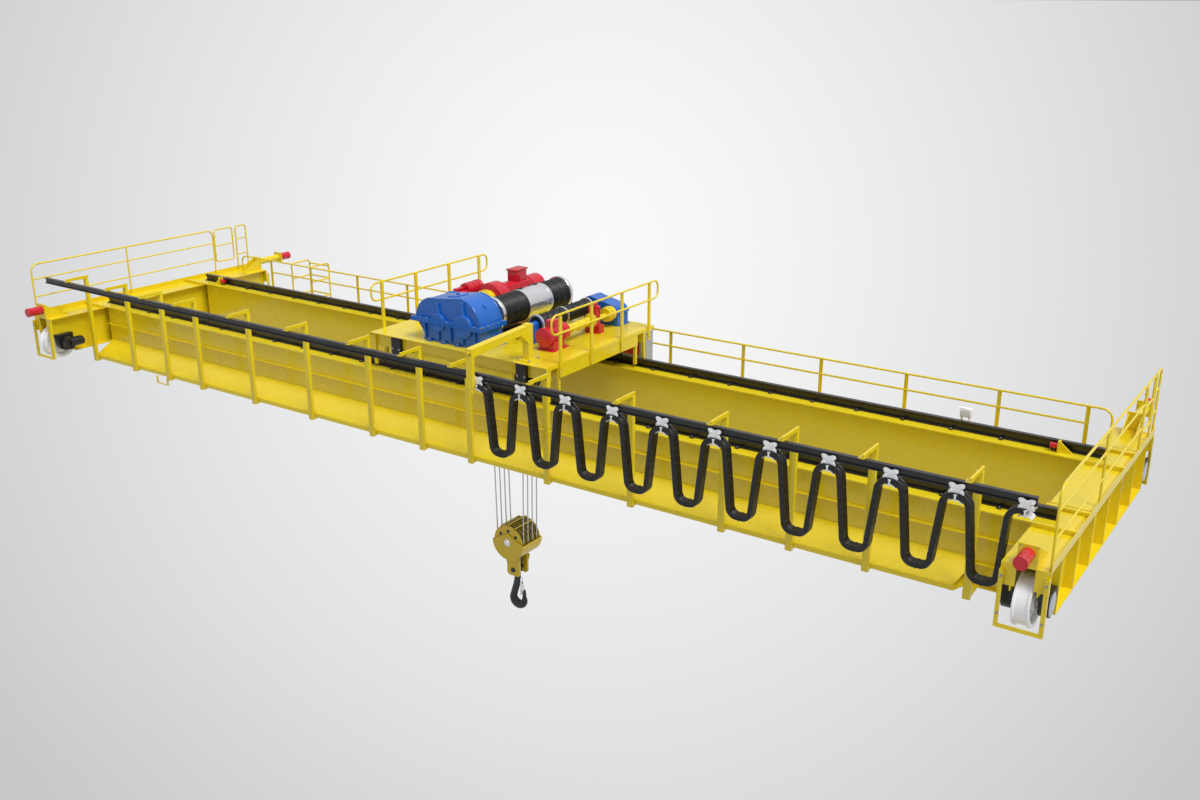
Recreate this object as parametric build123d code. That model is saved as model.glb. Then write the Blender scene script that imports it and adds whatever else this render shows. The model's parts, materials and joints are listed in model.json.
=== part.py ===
"""Double-girder overhead bridge crane: two box girders on two end trucks, with a trolley,
a hook block and a festoon cable system.

X runs along the bridge, Y along the runway with the festoon on the -Y side, Z up.
Z = 0 is the head of the runway rails, and the origin is the middle of the bridge.
All lengths are millimetres, and the trolley and the hook are where the crane is parked.
"""
from build123d import *
import os

# Driving dimensions of the bridge
span = 19500.0
trolley_gauge = 2500.0
girder_top = 860.0
girder_depth = 1070.0
flange_width = 540.0
flange_plate = 20.0
web_plate = 10.0
web_gap = 400.0
truck_length = 5500.0
truck_width = 570.0
truck_plate = 16.0
bridge_wheel_r = 320.0
bridge_wheel_inset = 270.0
rail_height = 140.0
rail_foot_width = 130.0
rail_head_width = 80.0
handrail_height = 1050.0
tube_r = 17.0
bar_r = 14.0
cut_over = 20.0

# Driving dimensions of the trolley and the hoist
trolley_x = 45.0
deck_length = 3780.0
deck_front = 1470.0
deck_back = 1670.0
deck_top = 1500.0
deck_plate = 12.0
trolley_wheel_r = 200.0
trolley_wheel_inset = 540.0
trolley_handrail_height = 825.0
drum_x = 100.0
drum_axis_height = 400.0
drum_r = 265.0
drum_length = 1960.0
drum_front = 560.0
block_x = 100.0
block_z = -2430.0
sheave_r = 320.0
upper_sheave_r = 385.0
sheave_count = 4
sheave_pitch = 130.0
rope_d = 22.0
running_gap = 5.0
contact_gap = 0.3

# Driving dimensions of the festoon
festoon_y = 2350.0
festoon_top = 1545.0
festoon_rail_height = 110.0
festoon_rail_width = 70.0
carrier_count = 9
end_clamp_out = 120.0
tow_clamp_in = 605.0
carrier_length = 220.0
carrier_height = 190.0
loop_bottom = 245.0
cable_thickness = 50.0
cable_width = 90.0

# Places that follow from them
truck_x = span / 2
truck_inner = truck_x - truck_width / 2
truck_outer = truck_x + truck_width / 2
truck_end = truck_length / 2
truck_top = girder_top - flange_plate
bridge_wheel_y = truck_end - bridge_wheel_inset
girder_y = trolley_gauge / 2
flange_edge = girder_y + flange_width / 2
girder_bottom = girder_top - girder_depth
web_face = girder_y + web_gap / 2 + web_plate
rail_top = girder_top + rail_height
deck_end = deck_length / 2
trolley_wheel_base = deck_length - 2 * trolley_wheel_inset
end_clamp_x = truck_inner + end_clamp_out
tow_clamp_x = trolley_x + deck_end - tow_clamp_in


def block(x0, x1, y0, y1, z0, z1):
    """A box between two corners."""
    size = (abs(x1 - x0), abs(y1 - y0), abs(z1 - z0))
    return Pos((x0 + x1) / 2, (y0 + y1) / 2, (z0 + z1) / 2) * Box(*size)


def rod_x(r, x0, x1, y, z):
    """A round bar along X."""
    return Pos((x0 + x1) / 2, y, z) * Rot(0, 90, 0) * Cylinder(r, abs(x1 - x0))


def rod_y(r, x, y0, y1, z):
    """A round bar along Y."""
    return Pos(x, (y0 + y1) / 2, z) * Rot(90, 0, 0) * Cylinder(r, abs(y1 - y0))


def rod_z(r, x, y, z0, z1):
    """A round bar along Z."""
    return Pos(x, y, (z0 + z1) / 2) * Cylinder(r, abs(z1 - z0))


def plate_xz(points, y0, y1):
    """A plate whose outline lies in the XZ plane, from y0 to y1."""
    face = make_face(Polyline(*[(x, 0, z) for x, z in points], close=True))
    return Pos(0, min(y0, y1), 0) * extrude(face, abs(y1 - y0), dir=(0, 1, 0))


def plate_yz(points, x0, x1):
    """A plate whose outline lies in the YZ plane, from x0 to x1."""
    face = make_face(Polyline(*[(0, y, z) for y, z in points], close=True))
    return Pos(min(x0, x1), 0, 0) * extrude(face, abs(x1 - x0), dir=(1, 0, 0))


def plate_xy(points, z0, z1):
    """A plate whose outline lies in the XY plane, from z0 to z1."""
    face = make_face(Polyline(*[(x, y, 0) for x, y in points], close=True))
    return Pos(0, 0, min(z0, z1)) * extrude(face, abs(z1 - z0), dir=(0, 0, 1))


def fuse(shapes):
    """One shape from touching shapes."""
    first, *others = shapes
    return first.fuse(*others) if others else first


def group(shapes):
    """One file from solids that don't touch."""
    solids = []
    for shape in shapes:
        solids += shape.solids()
    return Compound(children=solids)


def tube(points, bend):
    """A round tube through points, with every corner bent to one radius."""
    path = FilletPolyline(*points, radius=bend)
    start = Plane(origin=path @ 0, z_dir=path % 0)
    return sweep(start * Circle(tube_r), path)


def loop_x(x, y0, y1, z0, z1, bend):
    """A closed loop of round tube in the plane x, made of two halves."""
    middle = (y0 + y1) / 2
    halves = []
    for y in (y0, y1):
        halves.append(tube([(x, middle, z0), (x, y, z0), (x, y, z1), (x, middle, z1)], bend))
    return fuse(halves)


# Box girders: top flange, two webs and a bottom flange, with stiffeners along the outer web
flange_over = 480.0
stiffener_depth = 60.0
stiffener_plate = 10.0
stiffener_high = 374.0
stiffener_low = 749.0
ledge_out = 650.0
ledge_top = 127.0
ledge_plate = 20.0
ledge_lip = 50.0
ledge_short = 775.0
ledge_chamfer = 160.0


def girder(side):
    """The girder on one side: -1 is the festoon side."""
    middle = side * girder_y
    under = girder_top - flange_plate
    reach = truck_inner + flange_over
    end = truck_inner
    near, far = middle - flange_width / 2, middle + flange_width / 2
    pieces = [block(-reach, reach, near, far, under, girder_top),
              block(-end, end, near, far, girder_bottom, girder_bottom + flange_plate)]
    for wall in (-1, 1):
        inner = middle + wall * web_gap / 2
        pieces.append(block(-end, end, inner, inner + wall * web_plate, girder_bottom, under))
    for drop in (stiffener_high, stiffener_low):
        z = girder_top - drop
        pieces.append(block(-end, end, side * web_face, side * (web_face + stiffener_depth), z, z + stiffener_plate))
    return fuse(pieces)


def front_ledge():
    """A plate along the front girder's web that carries the festoon's posts, with an upturned lip."""
    inner, outer = -web_face, -girder_y - ledge_out
    left, right = -truck_inner, truck_inner - ledge_short
    top = -ledge_top
    outline = [(left, inner), (right + ledge_chamfer, inner), (right, outer), (left, outer)]
    lip = block(left, right, outer, outer + ledge_plate, top - ledge_plate, top + ledge_lip)
    return fuse([plate_xy(outline, top - ledge_plate, top), lip])


# Trolley rails: a flat-bottomed rail on each girder
rail_end_gap = 60.0
rail_head_height = 40.0
rail_web = 30.0
rail_foot_height = 20.0


def trolley_rail(side):
    """One rail on the middle of a girder."""
    y = side * girder_y
    end = truck_x - rail_end_gap
    outline = []
    steps = [
        (rail_foot_width / 2, 0),
        (rail_foot_width / 2, rail_foot_height),
        (rail_web / 2, rail_foot_height),
        (rail_web / 2, rail_height - rail_head_height),
        (rail_head_width / 2, rail_height - rail_head_height),
        (rail_head_width / 2, rail_height),
    ]
    for dy, dz in steps:
        outline.append((y + dy, girder_top + dz))
    for dy, dz in reversed(steps):
        outline.append((y - dy, girder_top + dz))
    return plate_yz(outline, -end, end)


# Trolley end stops: a gusset on each girder beside the rail, with a red buffer
stop_in = 687.0
stop_x = truck_x - stop_in
stop_height = 170.0
stop_length = 215.0
stop_plate = 30.0
stop_width = 110.0
stop_buffer_r = 40.0
stop_buffer_length = 110.0
stop_y = girder_y - rail_foot_width / 2 - stop_width / 2


def end_stop(end, side):
    """A stop for the trolley, on the girder's top flange beside the rail."""
    y = side * stop_y
    x = end * stop_x
    top = girder_top + stop_height
    wall = block(x, x + end * stop_plate, y - stop_width / 2, y + stop_width / 2, girder_top, top)
    points = [(x, girder_top), (x + end * stop_length, girder_top), (x, top)]
    return fuse([wall, plate_xz(points, y - stop_plate / 2, y + stop_plate / 2)])


def stop_buffer(end, side):
    """The buffer of one stop."""
    x = end * stop_x
    z = girder_top + stop_height / 2
    return rod_x(stop_buffer_r, x, x - end * stop_buffer_length, side * stop_y, z)


# End trucks: a deep box between the wheels, and cheeks that reach over each wheel
truck_deep_bottom = 100.0
truck_web_gap = 300.0
cheek_depth = 350.0
cheek_plate = 16.0
nose_depth = 285.0
nose_width = 175.0
ledge_reach = 460.0
bay_gap = 30.0
toe_board_height = 100.0
toe_board_plate = 8.0
truck_rib_count = 7
wheel_flange_rise = 20.0
deep_end = truck_end - ledge_reach
bay_end = bridge_wheel_y - bridge_wheel_r - wheel_flange_rise - bay_gap


def truck(end):
    """The truck under one end of the bridge, a hollow box of plates."""
    x = end * truck_x
    half = truck_width / 2
    web = truck_web_gap / 2
    under = truck_top - truck_plate
    low = truck_deep_bottom
    cheek_z = truck_top - cheek_depth
    pieces = [block(x - half, x + half, -truck_end, truck_end, under, truck_top)]
    outline = [(-truck_end, under), (-truck_end, cheek_z), (-deep_end, cheek_z), (-deep_end, low),
               (deep_end, low), (deep_end, cheek_z), (truck_end, cheek_z), (truck_end, under)]
    for wall in (-1, 1):
        pieces.append(plate_yz(outline, x + wall * web, x + wall * (web + cheek_plate)))
        side = x + wall * half
        pieces.append(block(x + wall * web, side, -deep_end, deep_end, low, low + truck_plate))
        for close in (-1, 1):
            nose = close * (truck_end - cheek_plate)
            pieces.append(block(side - wall * nose_width, side, nose, close * truck_end, truck_top - nose_depth, under))
    pieces.append(block(x - web, x + web, -bay_end, bay_end, low, low + truck_plate))
    for close in (-1, 1):
        y = close * bay_end
        pieces.append(block(x - web, x + web, y, y - close * cheek_plate, low, under))
    outer = x + end * (web + cheek_plate)
    for index in range(truck_rib_count):
        y = -deep_end + index * (2 * deep_end - truck_plate) / (truck_rib_count - 1)
        pieces.append(block(outer, x + end * half, y, y + truck_plate, low + truck_plate, under))
    toe = x + end * half
    pieces.append(block(toe - end * toe_board_plate, toe, -truck_end, truck_end, truck_top, truck_top + toe_board_height))
    return fuse(pieces)


# Bridge wheels: double-flanged, on a short axle with a bearing box each side
wheel_width = 210.0
wheel_flange_width = 30.0
wheel_axle_r = 60.0
bearing_r = 165.0
bearing_depth = 110.0
bearing_bore_gap = 0.05


def wheel_disc_x(x, y, z, r, width, flange, rise, axle_r, axle_half):
    """A double-flanged wheel with its axle along X."""
    disc = rod_x(r, x - width / 2, x + width / 2, y, z)
    left = rod_x(r + rise, x - width / 2, x - width / 2 + flange, y, z)
    right = rod_x(r + rise, x + width / 2 - flange, x + width / 2, y, z)
    axle = rod_x(axle_r, x - axle_half, x + axle_half, y, z)
    return fuse([disc, left, right, axle])


def bridge_wheel(end, side):
    """One wheel of the bridge."""
    half = truck_web_gap / 2 + cheek_plate + bearing_depth - contact_gap
    return wheel_disc_x(end * truck_x, side * bridge_wheel_y, bridge_wheel_r, bridge_wheel_r,
                        wheel_width, wheel_flange_width, wheel_flange_rise, wheel_axle_r, half)


def bearing_boxes(end, side):
    """The two round bearing housings of one bridge wheel, hung under the cheeks of the truck."""
    x = end * truck_x
    y = side * bridge_wheel_y
    top = truck_top - cheek_depth
    housings = []
    for wall in (-1, 1):
        near = x + wall * truck_web_gap / 2
        far = near + wall * (cheek_plate + bearing_depth)
        neck = block(near, far, y - bearing_r, y + bearing_r, bridge_wheel_r, top)
        housing = fuse([neck, rod_x(bearing_r, near, far, y, bridge_wheel_r)])
        bore = rod_x(wheel_axle_r + bearing_bore_gap, near - wall * cut_over, far + wall * cut_over, y, bridge_wheel_r)
        housings.append(housing - bore)
    return housings


# Bridge drives: a reducer and a motor on the inboard bearing of the left front and the right rear wheel
drive_r = 125.0
drive_length = 150.0
drive_motor_r = 85.0
drive_motor_length = 290.0


def bridge_drive(end, side):
    """The drive of one wheel, flanged to its inboard bearing housing, with the motor along the truck."""
    start = end * (truck_x - truck_web_gap / 2 - cheek_plate - bearing_depth)
    stop = start - end * drive_length
    y = side * bridge_wheel_y
    inner = y - side * drive_motor_length
    middle = (start + stop) / 2
    return fuse([rod_x(drive_r, start, stop, y, bridge_wheel_r),
                 rod_y(drive_motor_r, middle - end * (drive_length - drive_motor_r) / 2, y, inner, bridge_wheel_r)])


# Rail guards: a U of flat bar bolted to each end of a truck, just over the runway rail
guard_bottom = 20.0
guard_bar = 60.0
guard_plate = 12.0
guard_top = 760.0
guard_tie = 60.0


def rail_guard(end, side):
    """The guard in front of one wheel."""
    x = end * truck_x
    y0 = side * truck_end
    y1 = y0 + side * guard_bar
    half = truck_width / 2
    left = block(x - half, x - half + guard_plate, y0, y1, guard_bottom, guard_top)
    right = block(x + half - guard_plate, x + half, y0, y1, guard_bottom, guard_top)
    low = block(x - half, x + half, y0, y1, guard_bottom, guard_bottom + guard_plate)
    tabs = []
    for wall in (-1, 1):
        edge = x + wall * half
        tabs.append(block(edge - wall * guard_tie, edge, y0, y0 + side * guard_plate,
                          guard_top - 2 * guard_tie, guard_top))
    return fuse([left, right, low] + tabs)


# Buffers: red cylinders on the trucks, the far ones on a tube
buffer_r = 85.0
buffer_length = 300.0
buffer_z = 1000.0
buffer_pad = 240.0
buffer_pad_plate = 30.0
buffer_tube_r = 75.0
buffer_tube_length = 640.0
bracket_depth = 520.0


def buffer_bracket(end, side):
    """The plate that a buffer is bolted to, with its gussets or its tube, on the truck's top."""
    x = end * truck_x
    y = side * truck_end
    half = buffer_pad / 2
    pieces = [block(x - half, x + half, y, y - side * buffer_pad_plate, truck_top, buffer_z + half)]
    for wall in (-1, 1):
        gx = x + wall * (half - buffer_pad_plate)
        points = [(y, truck_top), (y - side * bracket_depth, truck_top), (y, buffer_z + half)]
        pieces.append(plate_yz(points, gx, gx + wall * truck_plate))
    if side > 0:
        face = y + side * buffer_tube_length
        pieces.append(block(x - half, x + half, face, face - side * buffer_pad_plate, buffer_z - half, buffer_z + half))
        pieces.append(rod_y(buffer_tube_r, x, y - side * buffer_pad_plate, face - side * buffer_pad_plate, buffer_z))
    return fuse(pieces)


def buffer(end, side):
    """The buffer itself, face to face with its pad."""
    face = side * (truck_end + buffer_tube_length) if side > 0 else side * truck_end
    return rod_y(buffer_r, end * truck_x, face, face + side * buffer_length, buffer_z)


# Handrails along the trucks
truck_rail_shares = (0.70, 0.36)
rail_corner_in = 60.0
truck_post_share = -0.182
long_end_share = 0.636
gate_end_share = 0.836
short_start_share = 0.871
long_bend = 150.0
short_bend = 70.0
rail_x = truck_outer - toe_board_plate - tube_r
rail_near = -truck_end + rail_corner_in
rail_far = truck_end - rail_corner_in
long_end = long_end_share * truck_end
truck_rail_z = truck_top + handrail_height - tube_r
gate_gap = 6.0
gate_drop = 740.0
gate_eye_wall = 8.0
gate_eye_height = 24.0
gate_eye_inset = 160.0
gate_stile_y = long_end + 2 * tube_r + gate_gap
gate_end_y = gate_end_share * truck_end
gate_low = truck_rail_z - gate_drop


def gate_eyes(x):
    """Two eyes on the last post of the long panel, which the gate turns in."""
    reach = tube_r + gate_eye_wall
    eyes = []
    for z in (gate_low + gate_eye_inset, truck_rail_z - gate_eye_inset):
        eye = block(x - reach, x + reach, long_end, gate_stile_y + reach, z, z + gate_eye_height)
        hole = rod_z(tube_r + bearing_bore_gap, x, gate_stile_y, z - cut_over, z + gate_eye_height + cut_over)
        eyes.append(eye - hole)
    return eyes


def rail_panel(x, y0, y1, bend):
    """An arch of tube on the truck's top with two lower bars."""
    pieces = [tube([(x, y0, truck_top), (x, y0, truck_rail_z), (x, y1, truck_rail_z), (x, y1, truck_top)], bend)]
    for share in truck_rail_shares:
        pieces.append(rod_y(bar_r, x, y0, y1, truck_top + share * handrail_height))
    return pieces


def truck_handrail(end):
    """The two fixed panels on the outside of one truck."""
    x = end * rail_x
    post = rod_z(tube_r, x, truck_post_share * truck_end, truck_top, truck_rail_z)
    long = fuse(rail_panel(x, rail_near, long_end, long_bend) + [post] + gate_eyes(x))
    short = fuse(rail_panel(x, short_start_share * truck_end, rail_far, short_bend))
    return [long, short]


def truck_gate(end):
    """The little gate between the panels, a loop of tube whose stile turns in the eyes of the long one."""
    x = end * rail_x
    middle = (gate_low + truck_rail_z) / 2
    return fuse([loop_x(x, gate_stile_y, gate_end_y, gate_low, truck_rail_z, short_bend),
                 rod_y(bar_r, x, gate_stile_y, gate_end_y, middle)])


# Walkway behind the rear girder
walkway_width = 640.0
walkway_top = 250.0
walkway_plate = 6.0
walkway_beam = 80.0
walkway_bracket_pitch = 1480.0
walkway_end_gap = 20.0
walkway_toe = 100.0
walkway_bar_share = 0.73
walkway_post_shares = (-0.9033, -0.7691, -0.6166, -0.4640, -0.2948, -0.1257, 0.0433,
                       0.2124, 0.3671, 0.5209, 0.6767, 0.8336, 0.9715)
walkway_rail_out = 75.0
post_width = 60.0
post_plate = 12.0
walkway_edge = flange_edge + walkway_width


def walkway():
    """Plate deck on brackets that stand out of the rear girder's web."""
    end = truck_inner - walkway_end_gap
    y0 = flange_edge + walkway_end_gap
    y1 = walkway_edge
    under = walkway_top - walkway_plate
    deck = block(-end, end, y0, y1, under, walkway_top)
    toe = block(-end, end, y1, y1 + walkway_plate, walkway_top - walkway_beam, walkway_top + walkway_toe)
    pieces = [deck, toe]
    count = int(2 * end / walkway_bracket_pitch)
    for index in range(count + 1):
        x = -end + walkway_beam + index * (2 * end - 2 * walkway_beam) / count
        pieces.append(block(x - walkway_beam / 2, x + walkway_beam / 2, web_face, y1, under - walkway_beam, under))
    return fuse(pieces)


def walkway_handrail():
    """Flat posts along the walkway's edge, with a tube on top that comes down on the trucks."""
    y = walkway_edge - tube_r
    end = truck_inner + walkway_rail_out
    z = walkway_top + handrail_height - tube_r
    rail = tube([(-end, y, truck_top), (-end, y, z), (end, y, z), (end, y, truck_top)], long_bend)
    xs = [share * truck_inner for share in walkway_post_shares]
    bar = rod_x(tube_r, xs[0], xs[-1], y, walkway_top + walkway_bar_share * handrail_height)
    posts = []
    for x in xs:
        posts.append(block(x - post_width / 2, x + post_width / 2, y - post_plate / 2, y + post_plate / 2, walkway_top, z))
    return fuse([rail, bar] + posts)


# Landing outside the walkway
cage_in = 1525.0
cage_width = 650.0
cage_depth = 560.0
cage_x0 = -truck_inner + cage_in
cage_shares = (0.66, 0.3)


def access_cage():
    """A railed landing outside the walkway where people step on."""
    y0 = walkway_edge + walkway_plate
    y1 = y0 + cage_depth
    z = walkway_top + handrail_height - tube_r
    xs = (cage_x0 + tube_r, cage_x0 + cage_width - tube_r)
    ys = (y0 + tube_r, y1 - tube_r)
    pieces = [block(cage_x0, cage_x0 + cage_width, y0, y1, walkway_top - walkway_plate, walkway_top)]
    for x in xs:
        pieces.append(tube([(x, ys[0], walkway_top), (x, ys[0], z), (x, ys[1], z), (x, ys[1], walkway_top)], short_bend))
    heights = [walkway_top + share * handrail_height for share in cage_shares]
    for height in heights:
        pieces += [rod_y(tube_r, x, ys[0], ys[1], height) for x in xs]
    pieces += [rod_x(tube_r, xs[0], xs[1], ys[1], height) for height in heights + [z - short_bend]]
    return fuse(pieces)


# Control cabinet on the walkway
cabinet_share = 0.142
cabinet_width = 640.0
cabinet_depth = 240.0
cabinet_height = 1010.0
cabinet_in = 40.0


def cabinet():
    """Steel cabinet that stands on the walkway."""
    x = cabinet_share * truck_inner
    y1 = walkway_edge - 2 * tube_r - cabinet_in
    return block(x - cabinet_width / 2, x + cabinet_width / 2, y1 - cabinet_depth, y1,
                 walkway_top, walkway_top + cabinet_height)


# Festoon posts on the front girder's ledge
first_post_in = 97.0
last_post_in = 588.0
post_shares = (-0.8523, -0.7383, -0.6321, -0.4741, -0.3140, -0.1556, -0.0333,
               0.0780, 0.2408, 0.4038, 0.5656, 0.6773, 0.7947)
bracket_bar = 100.0
bracket_plate = 60.0
bracket_foot = 18.0
bracket_arm = 70.0
arm_reach = festoon_rail_width / 2
festoon_rail_over = 632.0
festoon_rail_past = 110.0
festoon_rail_left = truck_inner + festoon_rail_over
festoon_rail_right = end_clamp_x + festoon_rail_past
festoon_rail_web = 10.0
festoon_rail_flange = 12.0


def post_xs():
    """Middles of the festoon's posts."""
    return [-truck_inner + first_post_in] + [s * truck_inner for s in post_shares] + [truck_inner - last_post_in]


def festoon_bracket(x):
    """A foot under the ledge, an upright outside it and an arm over the festoon rail."""
    x0, x1 = x - bracket_bar / 2, x + bracket_bar / 2
    edge = -girder_y - ledge_out
    under = -ledge_top - ledge_plate
    outer = edge - bracket_plate
    tip = -festoon_y - arm_reach
    top = festoon_top + bracket_arm
    outline = [(outer, under - bracket_foot), (-web_face, under - bracket_foot), (-web_face, under),
               (edge, under), (edge, top), (tip, top), (tip, festoon_top), (outer, festoon_top)]
    return plate_yz(outline, x0, x1)


def festoon_rail():
    """The I-section rail that the carriers run on."""
    half = festoon_rail_width / 2
    web = festoon_rail_web / 2
    low, top = festoon_top - festoon_rail_height, festoon_top
    ends = (-festoon_rail_left, festoon_rail_right)
    return fuse([
        block(*ends, -festoon_y - half, -festoon_y + half, top - festoon_rail_flange, top),
        block(*ends, -festoon_y - web, -festoon_y + web, low, top),
        block(*ends, -festoon_y - half, -festoon_y + half, low, low + festoon_rail_flange),
    ])


# Festoon carriers: two plates with rollers, and a round saddle that the cable lies over
carrier_plate = 10.0
saddle_r = 68.0
saddle_drop = 12.0
roller_r = 25.0
roller_base = 130.0
cable_side_gap = 3.0
carrier_inner = cable_width / 2 + cable_side_gap
carrier_top = festoon_top - running_gap
arch_top = carrier_top - carrier_height - saddle_drop
saddle_z = arch_top - cable_thickness - contact_gap - saddle_r
tongue_half = 30.0


def carrier(x):
    """Two side plates with rollers on the rail's lower flange and a cable saddle between their tongues."""
    z_low = carrier_top - carrier_height
    z_roller = festoon_top - festoon_rail_height + festoon_rail_flange + contact_gap + roller_r
    half = carrier_length / 2
    pieces = []
    for side in (-1, 1):
        y = -festoon_y + side * carrier_inner
        y1 = y + side * carrier_plate
        pieces.append(block(x - half, x + half, y, y1, z_low, carrier_top))
        pieces.append(block(x - tongue_half, x + tongue_half, y, y1, saddle_z, z_low))
        for place in (-1, 1):
            inner = -festoon_y + side * (festoon_rail_web / 2 + running_gap)
            pieces.append(rod_y(roller_r, x + place * roller_base / 2, inner, y, z_roller))
    reach = carrier_inner + carrier_plate
    pieces.append(rod_y(saddle_r, x, -festoon_y - reach, -festoon_y + reach, saddle_z))
    return fuse(pieces)


def carrier_x(index):
    """Where carrier number index hangs: 0 is the fixed clamp, the last is the towed one."""
    return end_clamp_x + index * (tow_clamp_x - end_clamp_x) / (carrier_count + 1)


# Festoon cables: a flat loop between each pair of saddles
loop_waist_share = 0.37
loop_bend_share = 0.8
arch_share = 0.98
clear_of_truck = 40.0


def cable_loop(index):
    """The loop between carrier index and the next one, over half of each saddle."""
    half = cable_thickness / 2
    lean = saddle_r + contact_gap + half
    right, left = carrier_x(index), carrier_x(index + 1)
    middle = (left + right) / 2
    waist = (right - left) * loop_waist_share / 2
    top = arch_top - half
    low = loop_bottom + half
    leg = min(right - lean, truck_inner - clear_of_truck - half)
    points = [(left + contact_gap, top), (left + lean, top), (middle - waist, low), (middle + waist, low),
              (leg, top), (right - contact_gap, top)]
    bend = waist * loop_bend_share
    band = trace(FilletPolyline(*points, radius=[lean * arch_share, bend, bend, lean * arch_share]), cable_thickness)
    return Pos(0, -festoon_y + cable_width / 2, 0) * Rot(90, 0, 0) * extrude(band, cable_width)


# Trolley frame
sill_depth = 235.0
sill_gap = 180.0
sill_plate = 16.0
cross_beam = 220.0
trolley_axle_z = rail_top + contact_gap + trolley_wheel_r
rope_slot_front = 420.0
rope_slot_back = 420.0
rope_slot_half = 460.0
trolley_guard_bar = 50.0
trolley_guard_clear = 60.0
trolley_guard_bottom = girder_top + trolley_guard_clear
hanger_plate = 16.0
upper_sheave_drop = 320.0
upper_sheave_z = deck_top - upper_sheave_drop


def end_guard(place, side):
    """Two bars hung from the frame's end, one on each side of a rail."""
    x = trolley_x + place * (deck_end - trolley_guard_bar / 2)
    half = sill_gap / 2 + sill_plate + trolley_guard_bar
    y = side * girder_y
    top = deck_top - deck_plate
    bars = []
    for wall in (-1, 1):
        y0 = y + wall * half
        bars.append(block(x - trolley_guard_bar / 2, x + trolley_guard_bar / 2, y0, y0 - wall * trolley_guard_bar,
                          trolley_guard_bottom, top))
    return fuse(bars)


def sill(side):
    """A channel over one rail with the wheels between its walls."""
    y = side * girder_y
    x0, x1 = trolley_x - deck_end, trolley_x + deck_end
    top = deck_top - deck_plate
    pieces = [block(x0, x1, y - sill_gap / 2 - sill_plate, y + sill_gap / 2 + sill_plate, top - sill_plate, top)]
    for wall in (-1, 1):
        inner = y + wall * sill_gap / 2
        pieces.append(block(x0, x1, inner, inner + wall * sill_plate, top - sill_depth, top))
    return fuse(pieces)


def trolley_frame():
    """Sills over the rails joined by cross beams."""
    pieces = [sill(-1), sill(1)]
    top = deck_top - deck_plate
    reach = girder_y - sill_gap / 2 - sill_plate
    for place in (-1, 1):
        x = trolley_x + place * (deck_end - cross_beam / 2)
        pieces.append(block(x - cross_beam / 2, x + cross_beam / 2, -reach, reach, top - sill_depth, top))
        x = drum_x + place * (rope_slot_half + cross_beam / 2)
        pieces.append(block(x - cross_beam / 2, x + cross_beam / 2, -reach, reach, top - sill_depth, top))
        for side in (-1, 1):
            pieces.append(end_guard(place, side))
    for side in (-1, 1):
        y = side * (block_half() + hanger_plate)
        pieces.append(block(drum_x - rope_slot_half, drum_x + rope_slot_half, y, y - side * hanger_plate,
                            upper_sheave_z - 2 * axle_r, top))
    return fuse(pieces)


edge_beam = 60.0
edge_plate = 6.0


def trolley_deck():
    """The deck plate with a slot for the ropes and a turned-down edge on both ends."""
    x0, x1 = trolley_x - deck_end, trolley_x + deck_end
    plate = block(x0, x1, -deck_front, deck_back, deck_top - deck_plate, deck_top)
    slot = block(drum_x - rope_slot_half, drum_x + rope_slot_half, -rope_slot_front, rope_slot_back,
                 deck_top - deck_plate - cut_over, deck_top + cut_over)
    lips = [block(x, x + way * edge_plate, -deck_front, deck_back, deck_top - edge_beam, deck_top)
            for x, way in ((x0, -1), (x1, 1))]
    return fuse([plate] + lips) - slot


# Trolley wheels and their boxes
tread_gap = 8.0
trolley_flange = 18.0
trolley_wheel_width = rail_head_width + 2 * tread_gap + 2 * trolley_flange
trolley_axle_r = 40.0
trolley_shaft_r = 30.0
box_side = 200.0
box_depth = 70.0


def wheel_disc_y(x, y, z, r, width, flange, rise):
    """A double-flanged wheel whose axle lies along Y."""
    disc = rod_y(r, x, y - width / 2, y + width / 2, z)
    one = rod_y(r + rise, x, y - width / 2, y - width / 2 + flange, z)
    two = rod_y(r + rise, x, y + width / 2 - flange, y + width / 2, z)
    return [disc, one, two]


def trolley_wheelset(place, driven):
    """Two wheels, joined by a shaft where they are driven."""
    x = trolley_x + place * trolley_wheel_base / 2
    pieces = []
    reach = sill_gap / 2 + sill_plate + box_depth
    for side in (-1, 1):
        y = side * girder_y
        wheel = wheel_disc_y(x, y, trolley_axle_z, trolley_wheel_r, trolley_wheel_width, trolley_flange, trolley_flange)
        wheel.append(rod_y(trolley_axle_r, x, y - reach, y + reach, trolley_axle_z))
        pieces.append(fuse(wheel))
    if driven:
        pieces.append(rod_y(trolley_shaft_r, x, -girder_y + reach, girder_y - reach, trolley_axle_z))
        return fuse(pieces)
    return group(pieces)


def trolley_wheel_boxes():
    """Bearing boxes on both walls of each sill."""
    boxes = []
    for place in (-1, 1):
        x = trolley_x + place * trolley_wheel_base / 2
        for side in (-1, 1):
            for wall in (-1, 1):
                near = side * girder_y + wall * (sill_gap / 2 + sill_plate)
                far = near + wall * box_depth
                z0 = trolley_axle_z - box_side / 2
                box = block(x - box_side / 2, x + box_side / 2, near, far, z0, deck_top - deck_plate)
                boxes.append(box - rod_y(trolley_axle_r + bearing_bore_gap, x, near - wall * cut_over,
                                         far + wall * cut_over, trolley_axle_z))
    return boxes


# Trolley drive: a motor and a reducer hung from the deck beside the driven shaft
travel_in = 300.0
travel_r = 105.0
travel_length = 330.0
travel_case = 190.0
travel_gap = 12.0


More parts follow.
